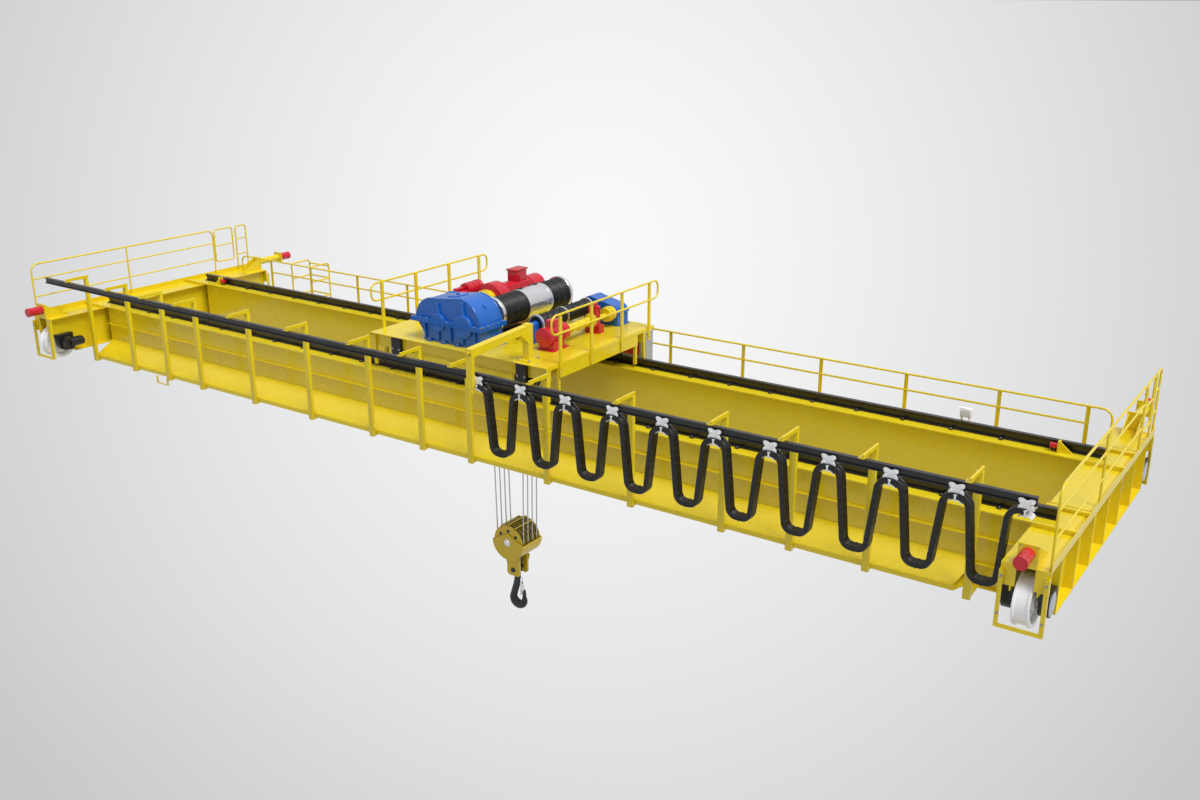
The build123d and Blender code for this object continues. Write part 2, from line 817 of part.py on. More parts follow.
def trolley_drive():
    """The reducer around the driven shaft, with its motor towards the middle of the trolley."""
    x = trolley_x + trolley_wheel_base / 2
    y = girder_y - sill_gap / 2 - sill_plate - box_depth - travel_in
    half = travel_case / 2
    case = block(x - half, x + half, y - half, y + half, trolley_axle_z - half, deck_top - deck_plate)
    bore = rod_y(trolley_shaft_r + travel_gap, x, y - half - cut_over, y + half + cut_over, trolley_axle_z)
    motor_z = deck_top - deck_plate - travel_r
    body = rod_x(travel_r, x - half, x - half - travel_length, y, motor_z)
    return fuse([case - bore, body])


# Trolley railings
trolley_post_ys = (-1111.0, -259.0, 631.0, 1483.0)
railing_bar_drop = 307.0
railing_loop = 250.0
railing_bend = 120.0
railing_foot = 215.0


def trolley_railing(end):
    """A long loop of tube at one end of the deck, on flat posts that are fastened to the deck's edge."""
    x = trolley_x + end * (deck_end + edge_plate + post_plate + tube_r)
    top = deck_top + trolley_handrail_height - tube_r
    y0, y1 = trolley_post_ys[0] - railing_loop, trolley_post_ys[-1] + railing_loop
    pieces = [loop_x(x, y0, y1, top - railing_bar_drop, top, railing_bend)]
    face = trolley_x + end * (deck_end + edge_plate)
    for y in trolley_post_ys:
        pieces.append(block(face, face + end * (post_plate + tube_r), y - post_width / 2, y + post_width / 2,
                            deck_top - railing_foot, top))
    return fuse(pieces)


# Main hoist: gearbox, drum, motor
gearbox_big_x = 0.0
gearbox_big_r = 450.0
gearbox_small_x = -560.0
gearbox_small_r = 380.0
gearbox_front = 1270.0
gearbox_back = 700.0
gearbox_foot_x0 = -680.0
gearbox_foot_x1 = 440.0
gearbox_foot_over = 100.0
gearbox_foot_plate = 40.0
gearbox_part_height = 350.0
gearbox_flange = 35.0
gearbox_flange_over = 70.0
gearbox_back_lip = 40.0


def main_gearbox():
    """Split-case gearbox with a big and a small gear hump on a tapered lower case."""
    base = deck_top
    part = base + gearbox_part_height
    front, back = -gearbox_front, -gearbox_back
    x0, x1 = gearbox_small_x - gearbox_small_r, gearbox_big_x + gearbox_big_r
    body = plate_xz([(gearbox_foot_x0, base), (gearbox_foot_x1, base), (x1, part), (x0, part)], front, back)
    big = rod_y(gearbox_big_r, gearbox_big_x, front, back, part)
    small = rod_y(gearbox_small_r, gearbox_small_x, front, back, part)
    bridge = plate_xz([(gearbox_small_x, part), (gearbox_big_x, part), (gearbox_big_x, part + gearbox_big_r),
                       (gearbox_small_x, part + gearbox_small_r)], front, back)
    under = block(x0 - cut_over, x1 + cut_over, front - cut_over, back + cut_over, part - gearbox_big_r - cut_over, part)
    cover = fuse([big, small, bridge]) - under
    over = gearbox_flange_over
    seam = block(x0 - over, x1 + over, front - over, back + gearbox_back_lip, part - gearbox_flange, part + gearbox_flange)
    foot = block(gearbox_foot_x0 - gearbox_foot_over, gearbox_foot_x1 + gearbox_foot_over, front, back,
                 base, base + gearbox_foot_plate)
    return fuse([body, cover, seam, foot])


drum_end_plate = 60.0
drum_end_over = 25.0
drum_shaft_r = 60.0
drum_axis_z = deck_top + drum_axis_height
pedestal_width = 420.0
pedestal_depth = 160.0
pedestal_gap = 6.0
pedestal_top_share = 0.36
pedestal_step_share = 0.3
socket_gap = 0.3


def main_drum():
    """The rope drum with its end plates and shaft."""
    y0 = -drum_front
    y1 = y0 + drum_length
    shell = rod_y(drum_r, drum_x, y0, y1, drum_axis_z)
    one = rod_y(drum_r + drum_end_over, drum_x, y0, y0 + drum_end_plate, drum_axis_z)
    two = rod_y(drum_r + drum_end_over, drum_x, y1 - drum_end_plate, y1, drum_axis_z)
    start = -gearbox_back + gearbox_back_lip + socket_gap
    shaft = rod_y(drum_shaft_r, drum_x, start, y1 + pedestal_gap + pedestal_depth / 2, drum_axis_z)
    return fuse([shell, one, two, shaft])


def drum_pedestal(x, y0, depth, width, axis_z, shaft_r):
    """A bearing pedestal with a blind bore for the drum's shaft."""
    top_r = width * pedestal_top_share
    step_z = deck_top + (axis_z - deck_top) * pedestal_step_share
    body = fuse([block(x - width / 2, x + width / 2, y0, y0 + depth, deck_top, step_z),
                 block(x - top_r, x + top_r, y0, y0 + depth, deck_top, axis_z),
                 rod_y(top_r, x, y0, y0 + depth, axis_z)])
    return body - rod_y(shaft_r + bearing_bore_gap, x, y0 - cut_over, y0 + depth / 2 + socket_gap, axis_z)


motor_x = -600.0
motor_r = 225.0
motor_y0 = 240.0
motor_length = 1400.0
motor_axis_z = deck_top + drum_axis_height
motor_fan = 330.0
motor_fan_step = 25.0
motor_box_height = 170.0
motor_box_width = 300.0
motor_box_start = 560.0
motor_box_length = 400.0
motor_foot_in = 180.0
motor_foot_share = 0.85


def main_motor():
    """The hoist motor on its stand, with a terminal box on top and a fan cover at the back."""
    y1 = motor_y0 + motor_length
    half = motor_foot_share * motor_r
    fan = y1 - motor_fan
    top = motor_axis_z + motor_r + motor_box_height
    box0 = motor_y0 + motor_box_start
    return fuse([
        rod_y(motor_r, motor_x, motor_y0, fan, motor_axis_z),
        rod_y(motor_r - motor_fan_step, motor_x, fan, y1, motor_axis_z),
        block(motor_x - half, motor_x + half, motor_y0 + motor_foot_in, fan - motor_foot_in, deck_top, motor_axis_z),
        block(motor_x - motor_box_width / 2, motor_x + motor_box_width / 2, box0, box0 + motor_box_length,
              motor_axis_z, top),
    ])


coupling_r = 170.0
coupling_length = 230.0
coupling_shaft_r = 50.0
line_shaft_r = 35.0
line_tube_r = 70.0
line_disc_r = 110.0
line_disc_width = 70.0
line_drum_r = 120.0
line_drum_width = 190.0


def main_coupling():
    """Coupling drum and shaft between the gearbox and the motor."""
    y0 = -gearbox_back + gearbox_back_lip
    return fuse([rod_y(coupling_shaft_r, motor_x, y0, motor_y0, motor_axis_z),
                 rod_y(coupling_r, motor_x, motor_y0 - coupling_length, motor_y0, motor_axis_z)])


brake_x = -1130.0
brake_y0 = -100.0
brake_length = 300.0
brake_width = 260.0
brake_height = 620.0
brake_post_r = 100.0
thruster_r = 120.0
thruster_length = 360.0
thruster_z = deck_top + brake_height - thruster_r


def main_brake():
    """The emergency brake's stand with its thruster beside it."""
    half = brake_width / 2
    y1 = brake_y0 + brake_length
    return fuse([block(brake_x - half, brake_x + half, brake_y0, y1, deck_top, deck_top + brake_height - 2 * thruster_r),
                 rod_y(brake_post_r, brake_x, brake_y0, y1, thruster_z - thruster_r + brake_post_r / 2),
                 block(brake_x - brake_post_r, brake_x + brake_post_r, y1, y1 + thruster_length, deck_top, thruster_z),
                 rod_y(thruster_r, brake_x, y1, y1 + thruster_length, thruster_z)])


# Auxiliary hoist
aux_drum_x = 880.0
aux_drum_r = 135.0
aux_axis_height = 300.0
aux_axis_z = deck_top + aux_axis_height
aux_drum_y0 = -330.0
aux_drum_y1 = 1130.0
aux_line_x = 1330.0
aux_line_height = 230.0
aux_line_z = deck_top + aux_line_height
aux_gearbox_y0 = 1230.0
aux_gearbox_y1 = 1560.0
aux_hump_r = 165.0
aux_motor_r = 150.0
aux_motor_y0 = -740.0
aux_motor_y1 = -180.0
aux_box_height = 90.0
aux_box_width = 160.0
aux_box_length = 190.0
aux_brake_y0 = 650.0
aux_brake_y1 = 790.0
aux_brake_half = 75.0
aux_brake_post = 230.0
aux_brake_grip = 90.0
aux_brake_gap = 8.0


def aux_drum():
    """The smaller rope drum."""
    shell = rod_y(aux_drum_r, aux_drum_x, aux_drum_y0, aux_drum_y1, aux_axis_z)
    one = rod_y(aux_drum_r + drum_end_over, aux_drum_x, aux_drum_y0, aux_drum_y0 + drum_end_over, aux_axis_z)
    two = rod_y(aux_drum_r + drum_end_over, aux_drum_x, aux_drum_y1 - drum_end_over, aux_drum_y1, aux_axis_z)
    shaft = rod_y(line_shaft_r, aux_drum_x, aux_drum_y0 - pedestal_gap - pedestal_depth / 2,
                  aux_gearbox_y0 - socket_gap, aux_axis_z)
    return fuse([shell, one, two, shaft])


def aux_pedestal():
    """The front bearing of the smaller drum."""
    y1 = aux_drum_y0 - pedestal_gap
    half = drum_end_over + line_shaft_r
    y0 = y1 - pedestal_depth
    body = fuse([block(aux_drum_x - half, aux_drum_x + half, y0, y1, deck_top, aux_axis_z),
                 rod_y(half, aux_drum_x, y0, y1, aux_axis_z)])
    return body - rod_y(line_shaft_r + bearing_bore_gap, aux_drum_x, (y0 + y1) / 2 - socket_gap, y1 + cut_over, aux_axis_z)


def aux_gearbox():
    """The small gearbox at the back of the auxiliary drum."""
    x0 = aux_drum_x - aux_drum_r
    x1 = aux_line_x + aux_drum_r
    y0, y1 = aux_gearbox_y0, aux_gearbox_y1
    body = block(x0, x1, y0, y1, deck_top, aux_line_z)
    cover = plate_xz([(aux_drum_x, aux_line_z), (aux_line_x, aux_line_z), (aux_line_x, aux_line_z + aux_drum_r),
                      (aux_drum_x, aux_axis_z + aux_hump_r)], y0, y1)
    return fuse([body, cover, rod_y(aux_hump_r, aux_drum_x, y0, y1, aux_axis_z),
                 rod_y(aux_drum_r, aux_line_x, y0, y1, aux_line_z)])


def aux_motor():
    """The motor of the auxiliary hoist on its feet, with a terminal box."""
    y0, y1 = aux_motor_y0, aux_motor_y1
    x, z, r = aux_line_x, aux_line_z, aux_motor_r
    middle = (y0 + y1) / 2
    return fuse([
        rod_y(r, x, y0, y1, z),
        block(x - r, x + r, middle - aux_box_length, middle + aux_box_length / 2, deck_top, z - r / 2),
        block(x - aux_box_width / 2, x + aux_box_width / 2, middle - aux_box_length / 2, middle + aux_box_length / 2,
              z, z + r + aux_box_height),
    ])


def aux_line():
    """Tubes and couplings from the motor through the brake to the small gearbox."""
    y0, y1 = aux_motor_y1, aux_gearbox_y0
    z = aux_line_z
    disc = aux_brake_y0 - aux_brake_gap
    return fuse([
        rod_y(line_shaft_r, aux_line_x, y0, y1, z),
        rod_y(line_tube_r, aux_line_x, y0, disc, z),
        rod_y(line_disc_r, aux_line_x, y0, y0 + line_disc_width, z),
        rod_y(line_disc_r, aux_line_x, disc - line_disc_width, disc, z),
        rod_y(line_drum_r, aux_line_x, y1 - line_drum_width, y1, z),
    ])


def aux_brake():
    """The brake that grips the auxiliary line, on its stand."""
    half = aux_brake_half
    top = aux_line_z + aux_brake_post
    body = fuse([block(aux_line_x - 2 * half, aux_line_x + 2 * half, aux_brake_y0, aux_brake_y1, deck_top,
                       aux_line_z - aux_brake_grip),
                 block(aux_line_x - half, aux_line_x + half, aux_brake_y0, aux_brake_y1, deck_top, top)])
    return body - rod_y(line_shaft_r + socket_gap, aux_line_x, aux_brake_y0 - cut_over, aux_brake_y1 + cut_over, aux_line_z)


# Tow arm for the festoon
tow_post_in = 535.0
tow_post_y = 1230.0
tow_bar = 120.0
tow_beam_depth = 140.0
tow_height = 590.0
tow_fall = 145.0
tow_foot = 300.0
tow_foot_plate = 20.0
tow_leg_in = 95.0
tow_leg_depth = 60.0
tow_leg_clear = 8.0
tow_leg_bottom = 1330.0
tow_tongue = 100.0
tow_gusset = 150.0
tow_pin_r = 28.0


def tow_arm():
    """A post on the deck, a beam that slopes out over the rail and a leg down beside the towed carrier."""
    half = tow_bar / 2
    x = trolley_x + deck_end - tow_post_in
    top = deck_top + tow_height
    leg_x = tow_clamp_x - tow_leg_in
    leg_y = -festoon_y - carrier_inner - carrier_plate - tow_leg_clear
    leg_top = top - tow_fall
    foot = block(x - tow_foot / 2, x + tow_foot / 2, -tow_post_y - tow_foot / 2, -tow_post_y + tow_foot / 2,
                 deck_top, deck_top + tow_foot_plate)
    post = block(x - half, x + half, -tow_post_y - half, -tow_post_y + half, deck_top, top)
    reach = leg_y - tow_leg_depth
    side_view = [(-tow_post_y + half, top), (reach, leg_top), (reach, leg_top - tow_beam_depth),
                 (-tow_post_y - half - tow_gusset, top - tow_beam_depth), (-tow_post_y - half, top - tow_beam_depth - tow_gusset),
                 (-tow_post_y + half, top - tow_beam_depth - tow_gusset)]
    corners = [(x - half, -tow_post_y + half), (x + half, -tow_post_y + half), (x + half, -tow_post_y - half),
               (leg_x + half, reach), (leg_x - half, reach), (x - half, -tow_post_y - half)]
    beam = plate_yz(side_view, leg_x - 2 * half, x + half) & plate_xy(corners, deck_top, top)
    leg = block(leg_x - half, leg_x + half, reach, leg_y, tow_leg_bottom, leg_top)
    tongue = block(leg_x, leg_x + half, reach, leg_y, tow_leg_bottom - tow_tongue, tow_leg_bottom)
    pin_z = leg_top - tow_beam_depth / 2
    pin = rod_y(tow_pin_r, leg_x, reach - tow_foot_plate, reach, pin_z)
    return fuse([foot, post, beam, leg, tongue, pin])


# Hook block, hook and latch
shroud_gap = 14.0
shroud_plate = 14.0
strap_width = 290.0
strap_gap = 200.0
strap_plate = 40.0
strap_drop = 730.0
axle_r = 45.0
sheave_width = 90.0
sheave_neck = 35.0
sheave_rim = 22.5
crosshead_r = 55.0
crosshead_boss = 22.5
crosshead_drop = 610.0
shank_r = 45.0
nut_rise = 60.0
nut_over = 22.5
neck_drop = 860.0
neck_width = 88.0
hook_bottom_drop = 1451.0
hook_r = 188.0
hook_thickness = 110.0
bowl_r = 75.0
bowl_x_in = 25.0
bowl_rise = 28.0
throat_top_drop = 990.0
throat_width = 106.0
tip_drop = 1121.0


def sheave_ys():
    """The middle planes of the sheaves."""
    return [(index - (sheave_count - 1) / 2) * sheave_pitch for index in range(sheave_count)]


def block_half():
    """Half of the width of the hook block inside its shroud."""
    return sheave_count * sheave_pitch / 2 + shroud_gap


def sheave_set(r, z, reach):
    """Four grooved sheaves on one axle."""
    pieces = [rod_y(axle_r, block_x, -reach, reach, z)]
    for y in sheave_ys():
        pieces.append(rod_y(r - sheave_neck, block_x, y - sheave_width / 2, y + sheave_width / 2, z))
        for wall in (-1, 1):
            edge = y + wall * sheave_width / 2
            pieces.append(rod_y(r, block_x, edge, edge - wall * sheave_rim, z))
    return fuse(pieces)


def block_sheaves():
    """The rope sheaves, keyed together on their axle."""
    return sheave_set(sheave_r, block_z, block_half() + shroud_plate)


def upper_sheaves():
    """The sheaves on the trolley that the ropes run over, on an axle between the hanger plates."""
    return sheave_set(upper_sheave_r, upper_sheave_z, block_half() - contact_gap)


def hook_frame():
    """Shroud around the lower half of the sheaves, with two straps down to the crosshead."""
    half = block_half()
    outer_r = sheave_r + shroud_gap + shroud_plate
    shell = rod_y(outer_r, block_x, -half - shroud_plate, half + shroud_plate, block_z)
    shell -= rod_y(sheave_r + shroud_gap, block_x, -half, half, block_z)
    wide = outer_r + cut_over
    shell -= block(block_x - wide, block_x + wide, -half, half, block_z, block_z + wide)
    for side in (-1, 1):
        ears = plate_xz([(block_x - wide, block_z), (block_x, block_z + outer_r / 2), (block_x + wide, block_z),
                         (block_x + wide, block_z + wide), (block_x - wide, block_z + wide)],
                        side * (half - cut_over), side * (half + shroud_plate + cut_over))
        shell -= ears
    shell -= rod_y(axle_r + bearing_bore_gap, block_x, -half - shroud_plate - cut_over, half + shroud_plate + cut_over, block_z)
    pieces = [shell]
    for side in (-1, 1):
        y = side * strap_gap / 2
        top = block_z - (sheave_r + shroud_gap)
        strap = block(block_x - strap_width / 2, block_x + strap_width / 2, y, y + side * strap_plate,
                      block_z - strap_drop, top + cut_over)
        pieces.append(strap - rod_y(sheave_r + shroud_gap, block_x, -half, half, block_z))
    z_cross = block_z - crosshead_drop
    reach = strap_gap / 2 + strap_plate
    cross = fuse([rod_y(crosshead_r, block_x, -reach, reach, z_cross),
                  rod_z(crosshead_r + crosshead_boss, block_x, 0, z_cross - crosshead_r, z_cross + crosshead_r)])
    frame = fuse(pieces + [cross])
    bore_r = shank_r + bearing_bore_gap
    return frame - rod_z(bore_r, block_x, 0, z_cross - crosshead_r - cut_over, z_cross + crosshead_r + cut_over)


latch_pin_out = 75.0
latch_pin_drop = 905.0
latch_pin_r = 9.0
lug_half = 14.0
lug_rise = 18.0
latch_side_gap = 2.0
latch_cheek = 14.0
latch_cheek_r = 20.0
latch_plate = 12.0
latch_tip_drop = 1135.0
latch_pin_x = block_x + latch_pin_out
latch_pin_z = block_z - latch_pin_drop
throat_x = block_x + throat_width
latch_reach = lug_half + latch_side_gap + latch_cheek


def hook():
    """Forged hook with its shank through the crosshead and a lug for the latch, opening towards +X."""
    z_nut = block_z - crosshead_drop + crosshead_r + contact_gap
    bottom = block_z - hook_bottom_drop
    centre = bottom + hook_r
    half = hook_thickness / 2
    neck_z = block_z - neck_drop
    shank = rod_z(shank_r, block_x, 0, neck_z, z_nut)
    nut = rod_z(shank_r + nut_over, block_x, 0, z_nut, z_nut + nut_rise)
    neck = block(block_x - neck_width / 2, block_x + neck_width / 2, -half, half, centre, neck_z)
    bowl_x, bowl_z = block_x + bowl_x_in, centre + bowl_rise
    body = fuse([rod_y(hook_r, block_x, -half, half, centre), neck])
    body -= rod_y(bowl_r, bowl_x, -half - cut_over, half + cut_over, bowl_z)
    top = block_z - throat_top_drop
    throat = [(block_x + neck_width / 2, top), (throat_x, top), (throat_x, bowl_z), (bowl_x - bowl_r, bowl_z)]
    body -= plate_xz(throat, -half - cut_over, half + cut_over)
    body -= block(block_x + neck_width / 2, block_x + 2 * hook_r, -half - cut_over, half + cut_over,
                  block_z - tip_drop, top)
    lug = block(block_x, latch_pin_x + latch_cheek_r, -lug_half, lug_half, latch_pin_z - lug_rise, latch_pin_z + lug_rise)
    pin = rod_y(latch_pin_r, latch_pin_x, -latch_reach, latch_reach, latch_pin_z)
    return fuse([nut, shank, body, lug, pin])


def hook_latch():
    """The spring latch across the hook's mouth, with a cheek on each side of the lug."""
    tip_z = block_z - latch_tip_drop
    end_x = throat_x - contact_gap
    low = latch_pin_z - lug_rise - latch_side_gap
    lean = (end_x - latch_plate - latch_pin_x) / (latch_pin_z - tip_z)
    start_x = latch_pin_x + lean * (latch_pin_z - low)
    plate = plate_xz([(start_x, low), (start_x + latch_plate, low), (end_x, tip_z), (end_x - latch_plate, tip_z)],
                     -latch_reach, latch_reach)
    pieces = [plate]
    for side in (-1, 1):
        y0 = side * (lug_half + latch_side_gap)
        y1 = side * latch_reach
        cheek = fuse([rod_y(latch_cheek_r, latch_pin_x, y0, y1, latch_pin_z),
                      block(latch_pin_x - latch_plate, latch_pin_x + latch_cheek_r, y0, y1, low - latch_plate, latch_pin_z)])
        pieces.append(cheek - rod_y(latch_pin_r + bearing_bore_gap, latch_pin_x, y0 - side * cut_over,
                                    y1 + side * cut_over, latch_pin_z))
    return fuse(pieces)


def hoist_ropes():
    """The falls of rope between the block and the upper sheaves, spread a little at the top."""
    ropes = []
    gap = rope_d / 2 + contact_gap
    for y in sheave_ys():
        for side in (-1, 1):
            low = (block_x + side * (sheave_r - sheave_neck + gap), y, block_z)
            high = (block_x + side * (upper_sheave_r - sheave_neck + gap), y, upper_sheave_z)
            path = Line(low, high)
            ropes.append(sweep(Plane(origin=low, z_dir=path % 0) * Circle(rope_d / 2), path))
    return ropes


os.makedirs("parts", exist_ok=True)
both = (-1, 1)
side_names = {(-1, -1): "left_front", (-1, 1): "left_rear", (1, -1): "right_front", (1, 1): "right_rear"}

parts = {
    "front_girder": fuse([girder(-1), front_ledge()]),
    "rear_girder": girder(1),
    "trolley_rails": group([trolley_rail(side) for side in both]),
    "trolley_end_stops": group([end_stop(end, side) for end in both for side in both]),
    "left_end_truck": truck(-1),
    "right_end_truck": truck(1),
    "wheel_bearing_boxes": group([b for end in both for side in both for b in bearing_boxes(end, side)]),
    "bridge_drives": group([bridge_drive(-1, -1), bridge_drive(1, 1)]),
    "rail_guards": group([rail_guard(end, side) for end in both for side in both]),
    "buffer_brackets": group([buffer_bracket(end, side) for end in both for side in both]),
    "buffers": group([make(end, side) for make in (buffer, stop_buffer) for end in both for side in both]),
    "truck_handrails": group([panel for end in both for panel in truck_handrail(end)]),
    "left_gate": truck_gate(-1),
    "right_gate": truck_gate(1),
    "walkway": walkway(),
    "walkway_handrail": walkway_handrail(),
    "access_cage": access_cage(),
    "control_cabinet": cabinet(),
    "festoon_brackets": group([festoon_bracket(x) for x in post_xs()]),
    "festoon_rail": festoon_rail(),
    "festoon_end_clamp": carrier(carrier_x(0)),
    "festoon_cables": group([cable_loop(index) for index in range(carrier_count + 1)]),
    "tow_carrier": carrier(carrier_x(carrier_count + 1)),
    "trolley_frame": trolley_frame(),
    "trolley_deck": trolley_deck(),
    "trolley_railings": group([trolley_railing(end) for end in both]),
    "trolley_wheel_boxes": group(trolley_wheel_boxes()),
    "trolley_drive": trolley_drive(),
    "drive_wheelset": trolley_wheelset(1, True),
    "idle_wheels": trolley_wheelset(-1, False),
    "main_gearbox": main_gearbox(),
    "main_drum": main_drum(),
    "drum_pedestals": group([drum_pedestal(drum_x, drum_length - drum_front + pedestal_gap, pedestal_depth,
                                           pedestal_width, drum_axis_z, drum_shaft_r), aux_pedestal()]),
    "main_motor": main_motor(),
    "couplings": group([main_coupling(), aux_line()]),
    "brakes": group([main_brake(), aux_brake()]),
    "aux_drum": aux_drum(),
    "aux_gearbox": aux_gearbox(),
    "aux_motor": aux_motor(),
    "tow_arm": tow_arm(),
    "hook_block_frame": hook_frame(),
    "block_sheaves": block_sheaves(),
    "hook": hook(),
    "hook_latch": hook_latch(),
    "upper_sheaves": upper_sheaves(),
    "hoist_ropes": group(hoist_ropes()),
}
for (end, side), name in side_names.items():
    parts[name + "_wheel"] = bridge_wheel(end, side)
for index in range(1, carrier_count + 1):
    parts["carrier_" + str(index)] = carrier(carrier_x(index))

for name, shape in parts.items():
    export_step(shape, "parts/" + name + ".step")
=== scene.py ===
# %% [markdown]
# # An overhead bridge crane
# The crane's solids come from the imported frame, in metres. This file dresses them: every surface gets its
# finish, and the bolts, ribs, fins, grooves and cables are modelled as pieces; all but the cables ride on the same
# bodies.

# %% The frame
import bpy
import json
import math
from mathutils import Matrix, Vector


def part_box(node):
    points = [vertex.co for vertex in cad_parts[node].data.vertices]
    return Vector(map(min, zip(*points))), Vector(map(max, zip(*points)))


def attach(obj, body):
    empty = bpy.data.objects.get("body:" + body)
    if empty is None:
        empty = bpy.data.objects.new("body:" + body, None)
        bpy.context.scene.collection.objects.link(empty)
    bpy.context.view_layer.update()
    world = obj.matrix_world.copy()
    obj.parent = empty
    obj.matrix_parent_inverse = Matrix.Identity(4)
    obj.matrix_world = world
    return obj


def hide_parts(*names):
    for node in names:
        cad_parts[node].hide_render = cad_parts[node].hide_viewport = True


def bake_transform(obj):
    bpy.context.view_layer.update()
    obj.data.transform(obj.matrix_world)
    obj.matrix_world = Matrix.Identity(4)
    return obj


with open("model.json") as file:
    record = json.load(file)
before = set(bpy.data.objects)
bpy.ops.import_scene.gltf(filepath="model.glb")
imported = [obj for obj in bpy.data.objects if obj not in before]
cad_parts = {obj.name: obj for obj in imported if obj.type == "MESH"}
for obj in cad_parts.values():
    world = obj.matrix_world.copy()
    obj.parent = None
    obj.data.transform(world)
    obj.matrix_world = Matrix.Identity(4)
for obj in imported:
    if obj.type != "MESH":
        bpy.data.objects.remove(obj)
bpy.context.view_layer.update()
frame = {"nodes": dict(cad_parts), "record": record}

# %% [markdown]
# The camera stands to the right of the bridge and a little above it, and looks down along it. Its place was
# worked out from the perspective of the real picture, so it holds exact numbers.

# %% Camera
camera_place = (12.821, -15.793, 7.09)
camera_turn = math.radians(34.56)
camera_dip = math.radians(18.75)
focal_share = 1211 / 1200

camera = bpy.data.objects.new("camera", bpy.data.cameras.new("camera"))
camera.data.sensor_width = 36
camera.data.lens = 36 * focal_share
camera.data.clip_end = 5000
camera.location = camera_place
camera.rotation_euler = (math.pi / 2 - camera_dip, 0, camera_turn)
bpy.context.collection.objects.link(camera)
bpy.context.scene.camera = camera

# %% [markdown]
# Materials are node trees. These helpers add a node, feed its inputs with values or with other nodes, and hand
# back one of its outputs, so a finish reads as a short list of steps.

# %% Helpers for node trees
def feed(tree, socket, value):
    """Gives an input a value, or links it where the value comes from another node."""
    if isinstance(value, bpy.types.NodeSocket):
        tree.links.new(value, socket)
    else:
        socket.default_value = value


def add(tree, kind, inputs, output=0, **settings):
    """Adds a shader node with its settings and inputs, and gives one of its outputs."""
    node = tree.nodes.new("ShaderNode" + kind)
    for label, value in settings.items():
        setattr(node, label, value)
    for label, value in inputs.items():
        feed(tree, node.inputs[label], value)
    return node.outputs[output]


def noise(tree, where, scale, detail):
    """A noise texture on some coordinates."""
    return add(tree, "TexNoise", {"Vector": where, "Scale": scale, "Detail": detail}, "Fac")


def spread(tree, value, low, high, out_low, out_high):
    """Maps one range of a value to another."""
    ends = {"From Min": low, "From Max": high, "To Min": out_low, "To Max": out_high}
    return add(tree, "MapRange", {"Value": value, **ends}, "Result")


def blend_colours(tree, factor, one, two):
    """Mixes two colours. The mix node's sockets 6 and 7 are its colours, and its output 2 is the mixed one."""
    return add(tree, "Mix", {"Factor": factor, 6: one, 7: two}, 2, data_type="RGBA")


def waves(tree, where, turn, **inputs):
    """A wave texture on turned coordinates."""
    turned_where = add(tree, "Mapping", {"Vector": where, "Rotation": turn})
    return add(tree, "TexWave", {"Vector": turned_where, **inputs}, "Fac")


colour_kind, number_kind, vector_kind = "NodeSocketColor", "NodeSocketFloat", "NodeSocketVector"


def new_group(name, inputs, outputs):
    """An empty shader node group on a surface's coordinates and colour, with more named sockets."""
    tree = bpy.data.node_groups.new(name, "ShaderNodeTree")
    shared = [("Vector", vector_kind, (0, 0, 0)), ("Color", colour_kind, (1, 1, 1, 1))]
    for label, kind, value in shared + inputs:
        tree.interface.new_socket(label, in_out="INPUT", socket_type=kind).default_value = value
    for label, kind in [("Color", colour_kind)] + outputs:
        tree.interface.new_socket(label, in_out="OUTPUT", socket_type=kind)
    return tree, tree.nodes.new("NodeGroupInput").outputs, tree.nodes.new("NodeGroupOutput").inputs


# %% [markdown]
# Paint on a crane is sprayed enamel: it has a fine orange-peel skin, its colour drifts a little from plate to
# plate, and its gloss is patchy. More than one finish needs this, so it is a node group that is built once.

# %% The paint film
peel_scale = 140.0

paint_film, given, out = new_group(
    "paint film",
    [("Shade", colour_kind, (0, 0, 0, 1)), ("Drift", number_kind, 1.0), ("Smooth", number_kind, 0.2),
     ("Rough", number_kind, 0.4)],
    [("Roughness", number_kind), ("Height", number_kind)])
patch = spread(paint_film, noise(paint_film, given["Vector"], given["Drift"], 4), 0.42, 0.72, 0.0, 0.40)
gloss = noise(paint_film, given["Vector"], 6.0, 6)
feed(paint_film, out["Color"], blend_colours(paint_film, patch, given["Color"], given["Shade"]))
feed(paint_film, out["Roughness"], spread(paint_film, gloss, 0.35, 0.65, given["Smooth"], given["Rough"]))
feed(paint_film, out["Height"], noise(paint_film, given["Vector"], peel_scale, 2))

# %% [markdown]
# Dust and grease settle on faces that look up. A mask from the surface's own normal finds them, and a noise
# breaks its edge, so this works on a plate and on a round tube alike.

# %% Settled dust
dust, given, out = new_group(
    "settled dust", [("Dust", colour_kind, (0.4, 0.37, 0.3, 1)), ("Amount", number_kind, 0.2)], [])
facing = add(dust, "SeparateXYZ", {0: add(dust, "NewGeometry", {}, "Normal")}, "Z")
up = spread(dust, facing, 0.6, 1.0, 0.0, given["Amount"])
patchy = spread(dust, noise(dust, given["Vector"], 2.2, 8), 0.45, 0.7, 0.0, 1.0)
both = add(dust, "Math", {0: up, 1: patchy}, operation="MULTIPLY")
feed(dust, out["Color"], blend_colours(dust, both, given["Color"], given["Dust"]))

# %% [markdown]
# Machined steel shows fine scratches in the direction in which it was turned or drawn. Stretching a noise along
# one axis gives them, and the same group serves wheels, bands, caps and plated parts.

